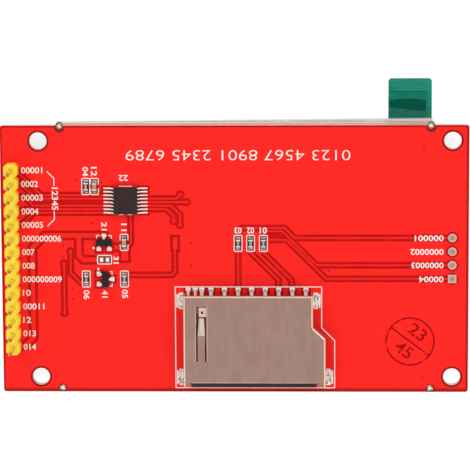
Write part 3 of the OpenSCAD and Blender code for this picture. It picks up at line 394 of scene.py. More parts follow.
def pin_plating(top):
    plating = Finish("pin_plating", rgb(250, 220, 84), 0.3, 0.25)
    plating.mottle(0.6 * MM, 0.1, detail=3, stretch=(1, 1, 0.25))
    # The shaft mirrors the yellow housing; its foot and its point are darker
    height = plating.axes["Z"]
    foot = plating.without(plating.step(height, FACE + 2.6 * MM, FACE + 3.9 * MM))
    plating.paint(foot, rgb(190, 158, 52), 0.85)
    tip = plating.step(height, top - 0.75 * MM, top - 0.35 * MM)
    plating.paint(tip, rgb(146, 104, 52), 0.75)
    plating.rough(0.4 * MM, 0.22, 0.42, stretch=(1, 1, 0.15))
    plating.bump(plating.grain(0.06 * MM, detail=2, stretch=(1, 1, 0.1)), 0.004 * MM, 0.5)
    return plating


def bright_solder(name, dark=0.3, dark_colour=rgb(150, 136, 122), threshold=0.55):
    """Solder whose curved skin mirrors the studio in bright and dark patches."""
    solder = Finish(name, settings().solder_colour, 0.3, 0.08)
    solder.mottle(0.5 * MM, 0.12, detail=3)
    patch = solder.step(solder.grain(0.3 * MM, detail=3), threshold, threshold + 0.1)
    solder.paint(patch, dark_colour, dark)
    solder.rough(0.3 * MM, 0.2, 0.45, detail=3)
    solder.bump(solder.grain(0.25 * MM, detail=3), 0.03 * MM, 0.6)
    return solder


def foot_shade(finish):
    """Darkens the dimple in the solder at the toe of each card contact."""
    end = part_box("sd_contacts")[1]
    across = finish.repeated(finish.axes["X"], end.x - 0.3 * MM, CONTACT_PITCH)
    along = finish.minus(finish.axes["Y"], end.y - 0.28 * MM)
    dimple = finish.band(finish.apart(across, along), 0.06 * MM, 0.24 * MM, 0.08 * MM)
    finish.paint(dimple, rgb(112, 92, 84), 0.6)


def chip_solder():
    """Bright at the leads; painted dark reflections round the small chips, and darker between the
    controller's leads.
    """
    solder = bright_solder("chip_solder", 0.5, rgb(120, 96, 88), 0.56)
    for name in RESISTORS + CAPACITORS:
        # Round the small chips the solder is painted dark as a reflection, with patches left
        # bright as painted glints
        near = solder.over(name, 0.2 * MM, 0.45 * MM, 0.04 * MM)
        painted_glint = solder.step(solder.grain(0.22 * MM, detail=2), 0.5, 0.58)
        solder.paint(solder.times(near, solder.scaled(painted_glint, 0, 1, 0.9, 0.1)), rgb(104, 74, 68))
    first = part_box("touch_controller_leads")[0].y + 0.12 * MM
    beside = solder.step(solder.repeated(solder.axes["Y"], first, LEAD_PITCH),
                         0.1 * MM, 0.15 * MM)
    zone = solder.over("touch_controller_leads", MM, 0.2 * MM, 0.04 * MM)
    solder.paint(solder.times(beside, zone), rgb(150, 38, 30))
    return solder


def jumper_solder():
    """Two tinned pads, bright inside a darker rim."""
    solder = bright_solder("jumper_solder", 0.5, rgb(150, 130, 120), 0.56)
    low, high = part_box("jumper_pads")
    rim, width, edge = 0.13 * MM, 0.8 * MM, 0.06 * MM
    bright = solder.plus(
        solder.within(low.x + rim, low.x + width - rim, low.y + rim, high.y - rim, edge),
        solder.within(high.x - width + rim, high.x - rim, low.y + rim, high.y - rim, edge))
    solder.paint(solder.without(bright), rgb(92, 62, 56), 0.8)
    return solder


def leg_solder():
    """Domes of solder: a bright middle that is a painted highlight, a speckled ring and a dark
    foot that is partly painted shade.
    """
    low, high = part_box("frame_leg_solder")
    middle, reach = (low + high) / 2, (high - low) / 2
    dome = 0.8 * MM
    solder = Finish("leg_solder", rgb(120, 34, 26), 0.3, 0.1)
    across = solder.distance(solder.minus(solder.axes["X"], middle.x))
    along = solder.distance(solder.minus(solder.axes["Y"], middle.y))
    off = solder.apart(solder.minus(across, reach.x - dome), solder.minus(along, reach.y - dome))
    speck = solder.step(solder.grain(0.3 * MM, detail=2), 0.44, 0.56)
    solder.paint(solder.band(off, 0.2 * MM, 0.5 * MM, 0.14 * MM), rgb(112, 82, 60))
    solder.paint(solder.times(solder.band(off, 0.2 * MM, 0.55 * MM, 0.1 * MM), speck),
                 rgb(220, 206, 184))
    solder.paint(solder.without(solder.step(off, 0.16 * MM, 0.28 * MM)), rgb(255, 250, 240))
    solder.mottle(0.4 * MM, 0.14, detail=3)
    solder.rough(0.3 * MM, 0.2, 0.4, detail=3)
    solder.bump(solder.grain(0.25 * MM, detail=3), 0.02 * MM, 0.5)
    return solder


def pad_solder():
    """Dull tinned pads of the card signals, each with a darker filled hole."""
    low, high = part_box("sd_pad_solder")
    solder = Finish("pad_solder", rgb(222, 182, 168), 0.42, 0.45)
    across = solder.minus(solder.axes["X"], (low.x + high.x) / 2)
    along = solder.repeated(solder.axes["Y"], high.y - 0.8 * MM, PIN_PITCH)
    hole = solder.without(solder.step(solder.apart(across, along), 0.32 * MM, 0.5 * MM))
    solder.paint(hole, rgb(168, 138, 126), 0.75)
    solder.mottle(0.4 * MM, 0.06, detail=3)
    solder.rough(0.3 * MM, 0.35, 0.5)
    solder.bump(solder.grain(0.2 * MM, detail=3), 0.015 * MM, 0.5)
    return solder


def nickel_shell():
    own = settings()
    nickel = Finish("nickel_shell", own.shell_colour, 0.36, 0.75)
    along, height = nickel.axes["Y"], nickel.axes["Z"]
    nickel.mottle(9 * MM, 0.03)
    nickel.mottle(0.35 * MM, 0.02, detail=4, stretch=(1, 0.18, 1))
    smudge = nickel.step(nickel.grain(2.4 * MM, detail=4), 0.6, 0.8)
    nickel.paint(smudge, rgb(126, 100, 90), 0.05)
    # The rounded bends catch the lamps, and so does the sloping part of the leaf spring
    bend = nickel.band(nickel.steepness(), 0.02, 0.85, 0.04)
    roof = nickel.step(height, SHELL_HIGH.z - 1.2 * MM, SHELL_HIGH.z - 1.0 * MM)
    nickel.paint(nickel.times(bend, roof), rgb(255, 226, 200))
    nickel.paint(nickel.within(*LEAF_SLOPE, 0.12 * MM), rgb(248, 226, 214), 0.9)
    # Two edges of its opening and its head are bright too, and a dark line crosses below the head
    left, right, front, back = LEAF_OPENING
    for start in (left - 0.2 * MM, right):
        nickel.paint(nickel.within(start, start + 0.2 * MM, front, back, 0.05 * MM),
                     rgb(226, 190, 160))
    left, right, front, back = LEAF_HEAD
    nickel.paint(nickel.within(left, right, front, back, 0.1 * MM), rgb(244, 222, 212))
    nickel.paint(nickel.within(left, right, front - 0.3 * MM, front, 0.06 * MM),
                 rgb(104, 74, 62))
    # The flared lip faces away from the lamps
    above = nickel.step(height, SHELL_HIGH.z - 0.42 * MM, SHELL_HIGH.z - 0.36 * MM)
    behind = nickel.step(along, SHELL_LOW.y + 0.74 * MM, SHELL_LOW.y + 0.8 * MM)
    nickel.paint(nickel.times(above, nickel.without(behind)), rgb(66, 48, 42))
    # The tabs at its foot are wetted with solder
    tab = nickel.without(nickel.step(height, FACE + 0.26 * MM, FACE + 0.3 * MM))
    nickel.paint(tab, own.solder_colour)
    nickel.set("Metallic", nickel.scaled(tab, 0, 1, 0.75, 0.05))
    streak = nickel.step(nickel.grain(0.34 * MM, detail=3, stretch=(1.4, 0.6, 1)), 0.5, 0.58)
    nickel.paint(nickel.times(tab, streak), rgb(84, 68, 56), 0.8)
    nickel.rough(1.2 * MM, 0.3, 0.44, detail=3, stretch=(1, 0.3, 1))
    nickel.bump(nickel.grain(0.05 * MM, detail=2, stretch=(1, 0.06, 1)), 0.0015 * MM, 0.5)
    nickel.bump(nickel.grain(5 * MM, detail=1), 0.01 * MM, 0.25)
    return nickel


def socket_plastic():
    plastic = Finish("socket_plastic", rgb(30, 28, 29), 0.55)
    # The leaf spring throws warm light back on the moulding below it
    plastic.paint(plastic.within(*LEAF_OPENING, 0.6 * MM), rgb(255, 196, 150))
    plastic.mottle(0.6 * MM, 0.2, detail=3)
    plastic.rough(0.4 * MM, 0.45, 0.65)
    plastic.bump(plastic.grain(0.12 * MM, detail=4), 0.01 * MM, 0.7)
    return plastic


def contact_plating():
    plating = Finish("contact_plating", rgb(255, 246, 236), 0.3, 0.1)
    plating.mottle(0.4 * MM, 0.1, detail=3)
    foot_shade(plating)
    plating.rough(0.3 * MM, 0.2, 0.4, stretch=(1, 0.2, 1))
    plating.bump(plating.grain(0.05 * MM, stretch=(1, 0.1, 1)), 0.003 * MM, 0.5)
    return plating


def chip_plastic(name, colour):
    plastic = Finish(name, colour, 0.6, Specular_IOR_Level=0.2)
    plastic.mottle(0.9 * MM, 0.12, detail=3)
    fleck = plastic.step(plastic.grain(0.07 * MM, detail=3), 0.55, 0.75)
    plastic.paint(fleck, toned(colour, 2.2), 0.3)
    plastic.rough(0.2 * MM, 0.5, 0.7)
    plastic.bump(plastic.grain(0.06 * MM, detail=4), 0.008 * MM, 0.8)
    return plastic


def tinned_lead():
    tin = Finish("tinned_lead", rgb(255, 250, 244), 0.3, 0.1)
    tin.mottle(0.25 * MM, 0.1, detail=3)
    tin.rough(0.2 * MM, 0.22, 0.42)
    tin.bump(tin.grain(0.08 * MM, detail=2), 0.006 * MM, 0.5)
    return tin


def chip_with_ends(node, body, glaze):
    """A small chip's body between two tinned ends, which lie across Y."""
    low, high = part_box(node)
    middle, half = (low.y + high.y) / 2, (high.y - low.y) / 2
    chip = Finish(node + "_finish", body, 0.5, Specular_IOR_Level=0.3)
    off = chip.distance(chip.minus(chip.axes["Y"], middle))
    chip.mottle(0.3 * MM, 0.12, detail=3)
    chip.paint(chip.step(chip.grain(0.12 * MM, detail=3), 0.5, 0.7), glaze, 0.35)
    ends = chip.step(off, half - CHIP_END - 0.05 * MM, half - CHIP_END + 0.03 * MM)
    chip.paint(ends, rgb(96, 54, 52))
    inner = chip.band(off, half - CHIP_END, half - 0.42 * CHIP_END, 0.05 * MM)
    gleam = chip.times(inner, chip.step(chip.grain(0.2 * MM, detail=2), 0.26, 0.36))
    chip.paint(chip.times(ends, gleam), rgb(255, 248, 242))
    chip.set("Metallic", chip.times(ends, 0.1))
    chip.rough(0.2 * MM, 0.3, 0.5)
    chip.bump(chip.grain(0.09 * MM, detail=4), 0.012 * MM, 0.7)
    chip.wear(node)


def pressed_steel():
    steel = Finish("pressed_steel", rgb(222, 204, 196), 0.34, 0.3)
    steel.mottle(6 * MM, 0.05)
    steel.mottle(0.4 * MM, 0.04, detail=3, stretch=(0.08, 1, 1))
    # The wall is lighter towards the board, which throws light back on it
    steel.paint(steel.step(steel.axes["Z"], 2.3 * MM, 2.7 * MM), rgb(255, 232, 216))
    # A darker line of painted shade where the wall folds over the screen's edge
    fold = steel.band(steel.axes["Z"], 1.4 * MM, 1.75 * MM, 0.12 * MM)
    steel.paint(fold, rgb(120, 108, 106), 0.7)
    # Painted highlights on the wall round each window, where it is pressed in
    wall = steel.upright()
    for middle in WINDOWS:
        bright = steel.band(steel.axes["X"], (middle - 1.5) * MM, (middle + 1.5) * MM, 0.3 * MM)
        steel.paint(steel.times(bright, wall), rgb(255, 253, 248))
    steel.rough(0.8 * MM, 0.26, 0.42, stretch=(0.1, 1, 1))
    steel.bump(steel.grain(0.05 * MM, stretch=(0.05, 1, 1)), 0.002 * MM, 0.5)
    return steel


def moulded_white():
    white = Finish("moulded_white", rgb(246, 244, 240), 0.5)
    white.mottle(1.5 * MM, 0.03, detail=3)
    white.rough(0.6 * MM, 0.4, 0.6)
    white.bump(white.grain(0.2 * MM, detail=4), 0.01 * MM, 0.5)
    return white


def plain_finish(name, colour, roughness, spot, spread, grain, depth, metallic=0.0, strength=0.4):
    """A plain finish, with soft spots of one size and a raised grain of another."""
    plain = Finish(name, colour, roughness, metallic)
    plain.mottle(spot, spread)
    plain.bump(plain.grain(grain), depth, strength)
    return plain


def clear_sheet(name, colour, alpha, roughness=0.12, grain=1.0):
    """A clear or tinted sheet. Its grain makes its ripples longer."""
    sheet = Finish(name, colour, roughness, Alpha=alpha, Coat_Weight=0.3, Coat_Roughness=0.05)
    sheet.mottle(6 * MM * grain, 0.03)
    sheet.rough(2 * MM, roughness * 0.7, roughness * 1.5)
    sheet.bump(sheet.grain(3 * MM * grain, detail=2), 0.01 * MM, 0.3)
    return sheet


def milky_rim(sheet, node, alpha):
    """Makes a clear sheet cloudy along its glued rim."""
    rim = 0.8 * MM
    inside = sheet.over(node, -rim, -rim, 0.1 * MM)
    sheet.set("Alpha", sheet.scaled(inside, 0, 1, 0.95, alpha))
    return sheet


def flexible_film():
    film = Finish("flexible_film", rgb(206, 134, 44), 0.3, Coat_Weight=0.4, Coat_Roughness=0.1)
    lines = film.waves(0.16 * MM, "Y")
    film.paint(film.step(lines, 0.45, 0.6), rgb(160, 88, 22), 0.5)
    film.mottle(2 * MM, 0.06)
    film.bump(lines, 0.01 * MM, 0.5)
    return film


def black_tape(name, colour, cell):
    tape = Finish(name, colour, 0.75)
    tape.mottle(MM, 0.15, detail=3)
    tape.rough(0.5 * MM, 0.65, 0.85)
    tape.bump(tape.cells(cell), 0.03 * MM, 0.6)
    return tape


def tab_film():
    """A tinted film with a crease, a trapped bubble and lighter edges."""
    film = Finish("tab_film", settings().tab_colour, 0.4, Specular_IOR_Level=0.05)
    # Places across the tab and down its free part, from 0 to 1
    across = film.scaled(film.axes["X"], TAB_LOW.x, TAB_HIGH.x, 0, 1)
    down = film.scaled(film.axes["Y"], TAB_HIGH.y, TAB_HIGH.y - TAB_FREE, 0, 1)
    film.paint(film.without(film.step(down, 0.31, 0.34)), rgb(38, 134, 116))
    film.paint(film.step(down, 0.7, 0.8), rgb(40, 106, 90), 0.7)
    glow = film.times(film.without(film.step(across, 0.05, 0.3)),
                      film.band(down, 0.15, 0.62, 0.2))
    film.paint(glow, rgb(8, 136, 106), 0.7)
    ripple = film.step(film.grain(0.5 * MM, detail=2, stretch=(0.12, 1, 1)), 0.45, 0.6)
    film.paint(ripple, rgb(60, 150, 128), 0.2)
    # The bubble: a dark lens with a curved upper edge and a slanting lower one
    curve = film.times(film.squared(film.minus(across, 0.45)), 0.3)
    upper = film.step(film.minus(down, curve), 0.49, 0.53)
    slant = film.minus(down, film.times(across, 0.12))
    lens = film.times(upper, film.without(film.step(slant, 0.725, 0.745)))
    inside = film.times(lens, film.without(film.step(across, 0.86, 0.875)))
    film.paint(inside, rgb(0, 84, 66), 0.92)
    film.paint(film.band(down, 0.325, 0.35, 0.012), rgb(0, 84, 72), 0.75)
    film.paint(film.step(across, 0.86, 0.9), rgb(30, 148, 122), 0.6)
    film.mottle(1.2 * MM, 0.05, detail=3)
    film.rough(1.5 * MM, 0.15, 0.35)
    film.bump(film.grain(2.5 * MM, detail=2), 0.04 * MM, 0.4)
    return film


def stamp_ink():
    """Thin ink that the red mask shows through in places."""
    own = settings()
    ink = Finish("stamp_ink", own.stamp_colour, 0.5, Specular_IOR_Level=0.1)
    bare = ink.step(ink.grain(1.1 * MM, detail=4), 0.54, 0.68)
    ink.paint(bare, own.mask_colour, 0.95)
    ink.mottle(0.3 * MM, 0.1, detail=3)
    ink.bump(ink.grain(0.1 * MM, detail=2), 0.003 * MM, 0.4)
    return ink


# ---- Modelling helpers ----

def deselect():
    """Leaves nothing selected, outside any mesh."""
    if bpy.context.object and bpy.context.object.mode != "OBJECT":
        bpy.ops.object.mode_set(mode="OBJECT")
    bpy.ops.object.select_all(action="DESELECT")


def choose(pieces):
    """Selects these pieces only, and makes the first one active."""
    deselect()
    for piece in pieces:
        piece.select_set(True)
    bpy.context.view_layer.objects.active = pieces[0]


def extent(piece):
    """The lowest and highest corners of a piece's mesh."""
    points = [vertex.co for vertex in piece.data.vertices]
    low = Vector(min(point[axis] for point in points) for axis in range(3))
    high = Vector(max(point[axis] for point in points) for axis in range(3))
    return low, high


def settle(piece):
    """Puts a piece's place, turn and size into its mesh."""
    choose([piece])
    bpy.ops.object.transform_apply(location=True, rotation=True, scale=True)


def open_mesh():
    """Goes into the active piece's mesh, with all of it selected."""
    bpy.ops.object.mode_set(mode="EDIT")
    bpy.ops.mesh.select_all(action="SELECT")


def close_mesh():
    """Turns all faces outwards and leaves the mesh."""
    bpy.ops.mesh.select_all(action="SELECT")
    bpy.ops.mesh.normals_make_consistent(inside=False)
    bpy.ops.object.mode_set(mode="OBJECT")


def join(pieces, name):
    """Makes one piece of several, and lets it ride with the module."""
    choose(pieces)
    if len(pieces) > 1:
        bpy.ops.object.join()
    whole = bpy.context.object
    whole.name = name
    whole.data.name = name
    settle(whole)
    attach(whole, "root")
    return whole


def number(body, centre, size, turn=0, base=None, weight=0.014):
    """Prints a number flat on the board, filling size, its length and height in millimetres."""
    own = settings()
    deselect()
    bpy.ops.object.text_add(location=(0, 0, 0))
    text = bpy.context.object
    text.data.body = body
    text.data.offset = weight
    text.data.extrude = 0.5
    text.data.resolution_u = 3
    bpy.ops.object.convert(target="MESH")
    printed = bpy.context.object
    low, high = extent(printed)
    open_mesh()
    bpy.ops.mesh.remove_doubles(threshold=0.0001)
    bpy.ops.transform.translate(value=-(low + high) / 2)
    bpy.ops.object.mode_set(mode="OBJECT")
    printed.scale = (size[0] * MM / (high.x - low.x), size[1] * MM / (high.y - low.y),
                     own.ink_height)
    printed.rotation_euler.z = math.radians(turn)
    printed.location = (centre[0] * MM, centre[1] * MM,
                        (FACE if base is None else base) + own.ink_height / 2)
    settle(printed)
    return printed


class MODULE_OT_board(bpy.types.Operator):
    """Dress the circuit board and its printed lines"""
    bl_idname = "module.board"
    bl_label = "Board"

    def execute(self, context):
        solder_mask().wear("circuit_board")
        printed_ink().wear("silkscreen")
        pad_solder().wear("sd_pad_solder")
        jumper_solder().wear("jumper_pads")
        leg_solder().wear("frame_leg_solder")
        return {"FINISHED"}


class MODULE_OT_header(bpy.types.Operator):
    """Dress the pin header"""
    bl_idname = "module.header"
    bl_label = "Pin Header"

    def execute(self, context):
        header_plastic().wear("header_housing")
        pin_plating(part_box("header_pins")[1].z).wear("header_pins")
        bright_solder("header_joints").wear("header_solder")
        return {"FINISHED"}


class MODULE_OT_socket(bpy.types.Operator):
    """Dress the card socket"""
    bl_idname = "module.socket"
    bl_label = "Card Socket"

    def execute(self, context):
        nickel_shell().wear("sd_shell")
        socket_plastic().wear("sd_base")
        contact_plating().wear("sd_contacts", "sd_switch_contacts")
        joints = bright_solder("socket_solder", 0.75, rgb(96, 78, 64), 0.57)
        foot_shade(joints)
        joints.wear("sd_solder")
        return {"FINISHED"}


class MODULE_OT_chips(bpy.types.Operator):
    """Dress the chips, their leads and their solder"""
    bl_idname = "module.chips"
    bl_label = "Chips"

    def execute(self, context):
        chip_plastic("chip_plastic", settings().chip_colour).wear("touch_controller_body")
        chip_plastic("small_chip_plastic", rgb(34, 29, 32)).wear(
            "regulator_body", "transistor_body")
        tinned_lead().wear("touch_controller_leads", "regulator_leads", "transistor_leads")
        chip_solder().wear("component_solder")
        for name in RESISTORS:
            chip_with_ends(name, rgb(52, 42, 46), rgb(92, 82, 98))
        for name in CAPACITORS:
            chip_with_ends(name, rgb(186, 144, 116), rgb(208, 172, 146))
        return {"FINISHED"}


class MODULE_OT_display(bpy.types.Operator):
    """Dress the display's frame, moulding, lighting and glass"""
    bl_idname = "module.display"
    bl_label = "Display"

    def execute(self, context):
        pressed_steel().wear("display_frame")
        moulded_white().wear("mould_frame", "reflector_sheet")
        clear_sheet("clear_guide", rgb(232, 242, 246), 0.6).wear("light_guide")
        clear_sheet("optic_film", rgb(226, 230, 236), 0.8, 0.4).wear(
            "lower_diffuser", "lower_prism_film", "upper_prism_film", "upper_diffuser")
        clear_sheet("polarising_film", rgb(52, 54, 58), 0.92, 0.2).wear(
            "rear_polariser", "front_polariser")
        clear_sheet("display_glass", rgb(206, 226, 224), 0.5, 0.05, 4).wear(
            "tft_glass", "colour_filter_glass")
        plain_finish("moulded_lamp", rgb(250, 238, 176), 0.45, 0.5 * MM, 0.06, 0.1 * MM,
                     0.005 * MM, strength=0.5).wear("backlight_leds")
        flexible_film().wear("display_flex", "touch_flex", "led_strip")
        plain_finish("silicon", rgb(70, 70, 84), 0.2, 0.4 * MM, 0.1, 0.1 * MM, 0.002 * MM,
                     metallic=0.4).wear("driver_chip")
        black_tape("foam", rgb(46, 46, 48), 0.25 * MM).wear("foam_tape")
        return {"FINISHED"}


class MODULE_OT_touch(bpy.types.Operator):
    """Dress the touch panel, its film and the pull tab"""
    bl_idname = "module.touch"
    bl_label = "Touch Panel"

    def execute(self, context):
        black_tape("panel_tape_finish", rgb(34, 34, 36), 0.4 * MM).wear("panel_tape")
        milky_rim(clear_sheet("touch_glass_finish", rgb(250, 238, 230), 0.1, 0.1, 3),
                  "touch_glass", 0.1).wear("touch_glass")
        plain_finish("gasket", rgb(214, 214, 208), 0.5, MM, 0.05, 0.2 * MM,
                     0.004 * MM).wear("touch_spacer")
        milky_rim(clear_sheet("touch_film_finish", rgb(250, 240, 232), 0.12, 0.2),
                  "touch_film", 0.12).wear("touch_film")
        clear_sheet("cover_film", rgb(238, 242, 246), 0.1, 0.1, 2).wear("screen_film")
        tab_film().wear("pull_tab")
        return {"FINISHED"}


# Where the numbers stand: text, middle, length and height, and turn, in millimetres and degrees
TITLE = ("0123 4567 8901 2345 6789", (-1.3, 19.35), (41.2, 1.9), 180)
PIN_LABEL_X = -41.2
PIN_LABEL_DIGITS = (5, 4, 5, 4, 5, 9, 3, 3, 9, 2, 5, 2, 3, 3)
PIN_LABEL_DROP, DIGIT_PITCH, DIGIT_GAP = 0.2, 0.83, 0.2
PIN_LABEL_HEIGHT, CARD_LABEL_HEIGHT = 1.15, 1.1
PIN_GROUP_LABEL = ("12345", (-35.0, 11.3), (4.2, PIN_LABEL_HEIGHT), -90)
# Each card pad's text, middle across the board and length
CARD_LABELS = (("000001", 3.95, 5.3), ("0000002", 1.4, 6.1), ("0000003", -1.1, 5.9),
               ("00004", -3.7, 4.5))
CARD_LABEL_END = 36.4
PART_LABELS = (
    ("22", (-22.35, 15.15), (1.7, 1.1), 180), ("04", (-29.35, 16.35), (1.7, 1.05), -90),
    ("12", (-27.75, 16.35), (1.7, 1.1), -90), ("21", (-26.0, 6.2), (1.55, 1.0), -90),
    ("11", (-22.35, 6.0), (1.4, 1.0), -90), ("31", (-23.85, -0.1), (1.35, 1.0), -90),
    ("41", (-26.0, -6.45), (1.35, 1.05), -90), ("06", (-29.4, -6.6), (1.7, 1.1), -90),
    ("05", (-22.3, -6.45), (1.6, 1.1), -90), ("01", (3.3, 5.4), (1.3, 1.15), 180),
    ("02", (0.95, 5.4), (1.3, 1.15), 180), ("03", (-1.35, 5.4), (1.3, 1.15), 180))


class MODULE_OT_numbers(bpy.types.Operator):
    """Print the plain numbers beside the pins, pads and parts"""
    bl_idname = "module.numbers"
    bl_label = "Printed Numbers"

    def execute(self, context):
        ink = printed_ink()
        title = join([number(*TITLE, weight=-0.012)], "printed_scale")
        low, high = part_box("header_pins")
        half_pin = 0.32 * MM
        pitch = (low.y - high.y + 2 * half_pin) / (len(PIN_LABEL_DIGITS) - 1)
        labels = []
        for index, digits in enumerate(PIN_LABEL_DIGITS):
            length = digits * DIGIT_PITCH - DIGIT_GAP
            middle = (high.y - half_pin + pitch * index) / MM - PIN_LABEL_DROP
            labels.append(number(f"{index + 1:0{digits}d}", (PIN_LABEL_X + length / 2, middle),
                                 (length, PIN_LABEL_HEIGHT)))
        labels.append(number(*PIN_GROUP_LABEL))
        pins = join(labels, "printed_pin_numbers")
        cards = join([number(body, (CARD_LABEL_END - length / 2, y),
                             (length, CARD_LABEL_HEIGHT), 180)
                      for body, y, length in CARD_LABELS], "printed_card_numbers")
        parts = join([number(*label) for label in PART_LABELS], "printed_part_numbers")
        ink.wear(title.name, pins.name, cards.name, parts.name)
        return {"FINISHED"}


class MODULE_OT_resistor_marks(bpy.types.Operator):
    """Mark the resistors with a plain code"""
    bl_idname = "module.resistor_marks"
    bl_label = "Resistor Marks"

    def execute(self, context):
        marks = []
        for name in RESISTORS:
            low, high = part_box(name)
            middle = (low + high) / 2
            marks.append(number("000", (middle.x / MM, middle.y / MM), (0.85, 0.42), 90,
                                base=high.z - 0.02 * MM))
        whole = join(marks, "resistor_marks")
        plain_finish("resistor_mark", rgb(214, 214, 206), 0.5, 0.1 * MM, 0.1, 0.05 * MM,
                     0.002 * MM).wear(whole.name)
        return {"FINISHED"}


# The stamp's middle, turn and numbers, in millimetres and degrees
STAMP_AT = (30.3, -15.35)
STAMP_TURN = -37
STAMP_NUMBERS = (("23", (31.7, -13.6), (3.4, 2.3)), ("45", (29.2, -16.9), (3.3, 2.3)))


class MODULE_OT_stamp(bpy.types.Operator):
    """Stamp a ring, a bar and two plain numbers on the board"""
    bl_idname = "module.stamp"
    bl_label = "Inspection Stamp"

    def execute(self, context):
        own = settings()
        x, y = (value * MM for value in STAMP_AT)
        deselect()
        bpy.ops.mesh.primitive_circle_add(vertices=96, radius=own.stamp_radius, fill_type="NGON",
                                          location=(0, 0, 0))
        ring = bpy.context.object
        open_mesh()
        bpy.ops.mesh.inset(thickness=own.stamp_line)
        bpy.ops.mesh.delete(type="FACE")
        bpy.ops.mesh.select_all(action="SELECT")
        bpy.ops.mesh.extrude_region_move(
            TRANSFORM_OT_translate={"value": (0, 0, own.ink_height)})
        close_mesh()
        ring.location = (x, y, FACE)
        settle(ring)
        deselect()
        bpy.ops.mesh.primitive_cube_add(size=1, location=(0, 0, 0))
        bar = bpy.context.object
        bar.scale = (own.stamp_radius * 1.9, own.stamp_line, own.ink_height)
        settle(bar)
        open_mesh()
        bpy.ops.mesh.subdivide(number_cuts=6)
        bpy.ops.object.mode_set(mode="OBJECT")
        bar.rotation_euler.z = math.radians(STAMP_TURN)
        bar.location = (x, y, FACE + own.ink_height / 2)
        settle(bar)
        digits = [number(*each, STAMP_TURN, weight=0.012) for each in STAMP_NUMBERS]
        whole = join([ring, bar, *digits], "inspection_stamp")
        stamp_ink().wear(whole.name)
        return {"FINISHED"}


# Middles of the covered vias, in millimetres
VIA_DOTS = ((-31, 14.7), (-26.4, 14.4), (-33.6, 2.6), (-33.6, 0.3), (-32, -5.4), (-32, -7.4),
            (-10, 3.1), (-10, -1.1), (15.3, -2.1), (32.7, 20.9), (32.5, -22.2), (-28.3, 6.8))


class MODULE_OT_via_dots(bpy.types.Operator):
    """Model one covered via and copy it over the board"""
    bl_idname = "module.via_dots"
    bl_label = "Covered Vias"

    def execute(self, context):
        own = settings()
        radius = own.via_dot / 2
        deselect()
        bpy.ops.mesh.primitive_circle_add(vertices=20, radius=radius, fill_type="NGON",
                                          location=(0, 0, FACE))
        first = bpy.context.object
        open_mesh()
        bpy.ops.mesh.extrude_region_move(
            TRANSFORM_OT_translate={"value": (0, 0, own.ink_height)})
        bpy.ops.mesh.inset(thickness=radius * 0.35)
        bpy.ops.mesh.inset(thickness=radius * 0.3)
        bpy.ops.transform.translate(value=(0, 0, -own.ink_height * 0.8))
        close_mesh()
        dots = [first]
        for x, y in VIA_DOTS[1:]:
            choose([first])
            bpy.ops.object.duplicate(linked=False)
            copy = bpy.context.object
            copy.location.x, copy.location.y = x * MM, y * MM
            dots.append(copy)
        first.location.x, first.location.y = (value * MM for value in VIA_DOTS[0])
        whole = join(dots, "covered_vias")
        dark = Finish("via_mask", rgb(168, 16, 12), 0.4, Specular_IOR_Level=0.12)
        dark.mottle(0.1 * MM, 0.15)
        dark.bump(dark.grain(0.06 * MM), 0.003 * MM, 0.5)
        dark.wear(whole.name)
        return {"FINISHED"}


# The camera's place in metres, its turn in degrees and its lens in millimetres
CAMERA_PLACE = (0.016369, 0.093628, 0.561233)
CAMERA_TURN = (-9.11514, 1.83546, -0.30760)
CAMERA_LENS = 234.489
# The lamps' distance from the middle, height and size, and the floor's size, in metres
LAMP_REACH, LAMP_HEIGHT, LAMP_SIZE, FLOOR_SIZE = 0.42, 0.34, 0.36, 6
FLOOR_SHADE, FLOOR_GLOW, WORLD_GLOW = 0.42, 0.74, 0.55


def pale_floor():
    """A matt floor that the camera, mirrors and clear pieces see as almost white."""
    pale = Nodes("pale_floor", "ShaderNodeAddShader")
    matt = pale.node("ShaderNodeBsdfDiffuse", Color=opaque([FLOOR_SHADE] * 3))
    path = pale.node("ShaderNodeLightPath").outputs
    seen = pale.either(pale.either(path["Is Camera Ray"], path["Is Transmission Ray"]),
                       path["Is Glossy Ray"])
    glow = pale.node("ShaderNodeEmission", Color=opaque([1] * 3),
                     Strength=pale.times(seen, FLOOR_GLOW))
    pale.feed(pale.shader.inputs[0], matt.outputs[0])
    pale.feed(pale.shader.inputs[1], glow.outputs[0])
    return pale.material


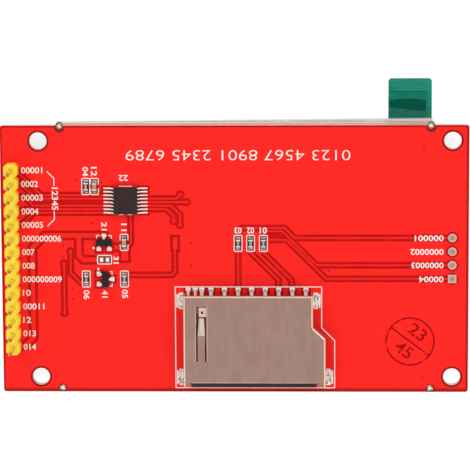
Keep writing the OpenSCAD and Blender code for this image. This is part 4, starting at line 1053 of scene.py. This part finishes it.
class MODULE_OT_stage(bpy.types.Operator):
    """Set the camera, the lamps, the world and the pale floor"""
    bl_idname = "module.stage"
    bl_label = "Stage"

    def execute(self, context):
        scene = context.scene
        deselect()
        bpy.ops.object.camera_add(
            location=CAMERA_PLACE, rotation=[math.radians(angle) for angle in CAMERA_TURN])
        camera = bpy.context.object
        camera.name = "module_camera"
        camera.data.lens = CAMERA_LENS
        camera.data.sensor_width = 36
        camera.data.clip_start, camera.data.clip_end = 0.01, 10
        scene.camera = camera

        for index in range(4):
            turn = math.radians(45 + 90 * index)
            place = Vector((math.cos(turn) * LAMP_REACH, math.sin(turn) * LAMP_REACH,
                            LAMP_HEIGHT))
            bpy.ops.object.light_add(type="AREA", location=place)
            lamp = bpy.context.object
            lamp.name = f"soft_lamp_{index + 1}"
            lamp.data.size = LAMP_SIZE
            lamp.data.energy = settings().lamp_power
            lamp.rotation_euler = (-place).to_track_quat("-Z", "Y").to_euler()

        floor_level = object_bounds()[0].z - 0.02 * MM
        deselect()
        bpy.ops.mesh.primitive_plane_add(size=FLOOR_SIZE, location=(0, 0, floor_level))
        floor = bpy.context.object
        floor.name = "floor"
        floor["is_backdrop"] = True
        floor.data.materials.append(pale_floor())

        world = bpy.data.worlds.new("studio")
        scene.world = world
        world.use_nodes = True
        background = world.node_tree.nodes["Background"]
        background.inputs["Color"].default_value = opaque([1] * 3)
        background.inputs["Strength"].default_value = WORLD_GLOW
        scene.view_settings.view_transform = "Standard"
        return {"FINISHED"}


class MODULE_PT_panel(bpy.types.Panel):
    """Sizes, colours and steps of the module"""
    bl_idname = "MODULE_PT_panel"
    bl_label = "Display Module"
    bl_space_type = "VIEW_3D"
    bl_region_type = "UI"
    bl_category = "Module"

    def draw(self, context):
        for name in ModuleSettings.__annotations__:
            self.layout.prop(context.scene.module_settings, name)
        for operator in OPERATORS:
            self.layout.operator(operator.bl_idname)


OPERATORS = (MODULE_OT_board, MODULE_OT_header, MODULE_OT_socket, MODULE_OT_chips,
             MODULE_OT_display, MODULE_OT_touch, MODULE_OT_numbers, MODULE_OT_resistor_marks,
             MODULE_OT_stamp, MODULE_OT_via_dots, MODULE_OT_stage)
CLASSES = (ModuleSettings, *OPERATORS, MODULE_PT_panel)


def register():
    for each in CLASSES:
        bpy.utils.register_class(each)
    bpy.types.Scene.module_settings = bpy.props.PointerProperty(type=ModuleSettings)


def unregister():
    del bpy.types.Scene.module_settings
    for each in reversed(CLASSES):
        bpy.utils.unregister_class(each)


def main():
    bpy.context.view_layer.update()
    register()
    for operator in OPERATORS:
        group, name = operator.bl_idname.split(".")
        getattr(getattr(bpy.ops, group), name)()


if __name__ == "__main__":
    main()
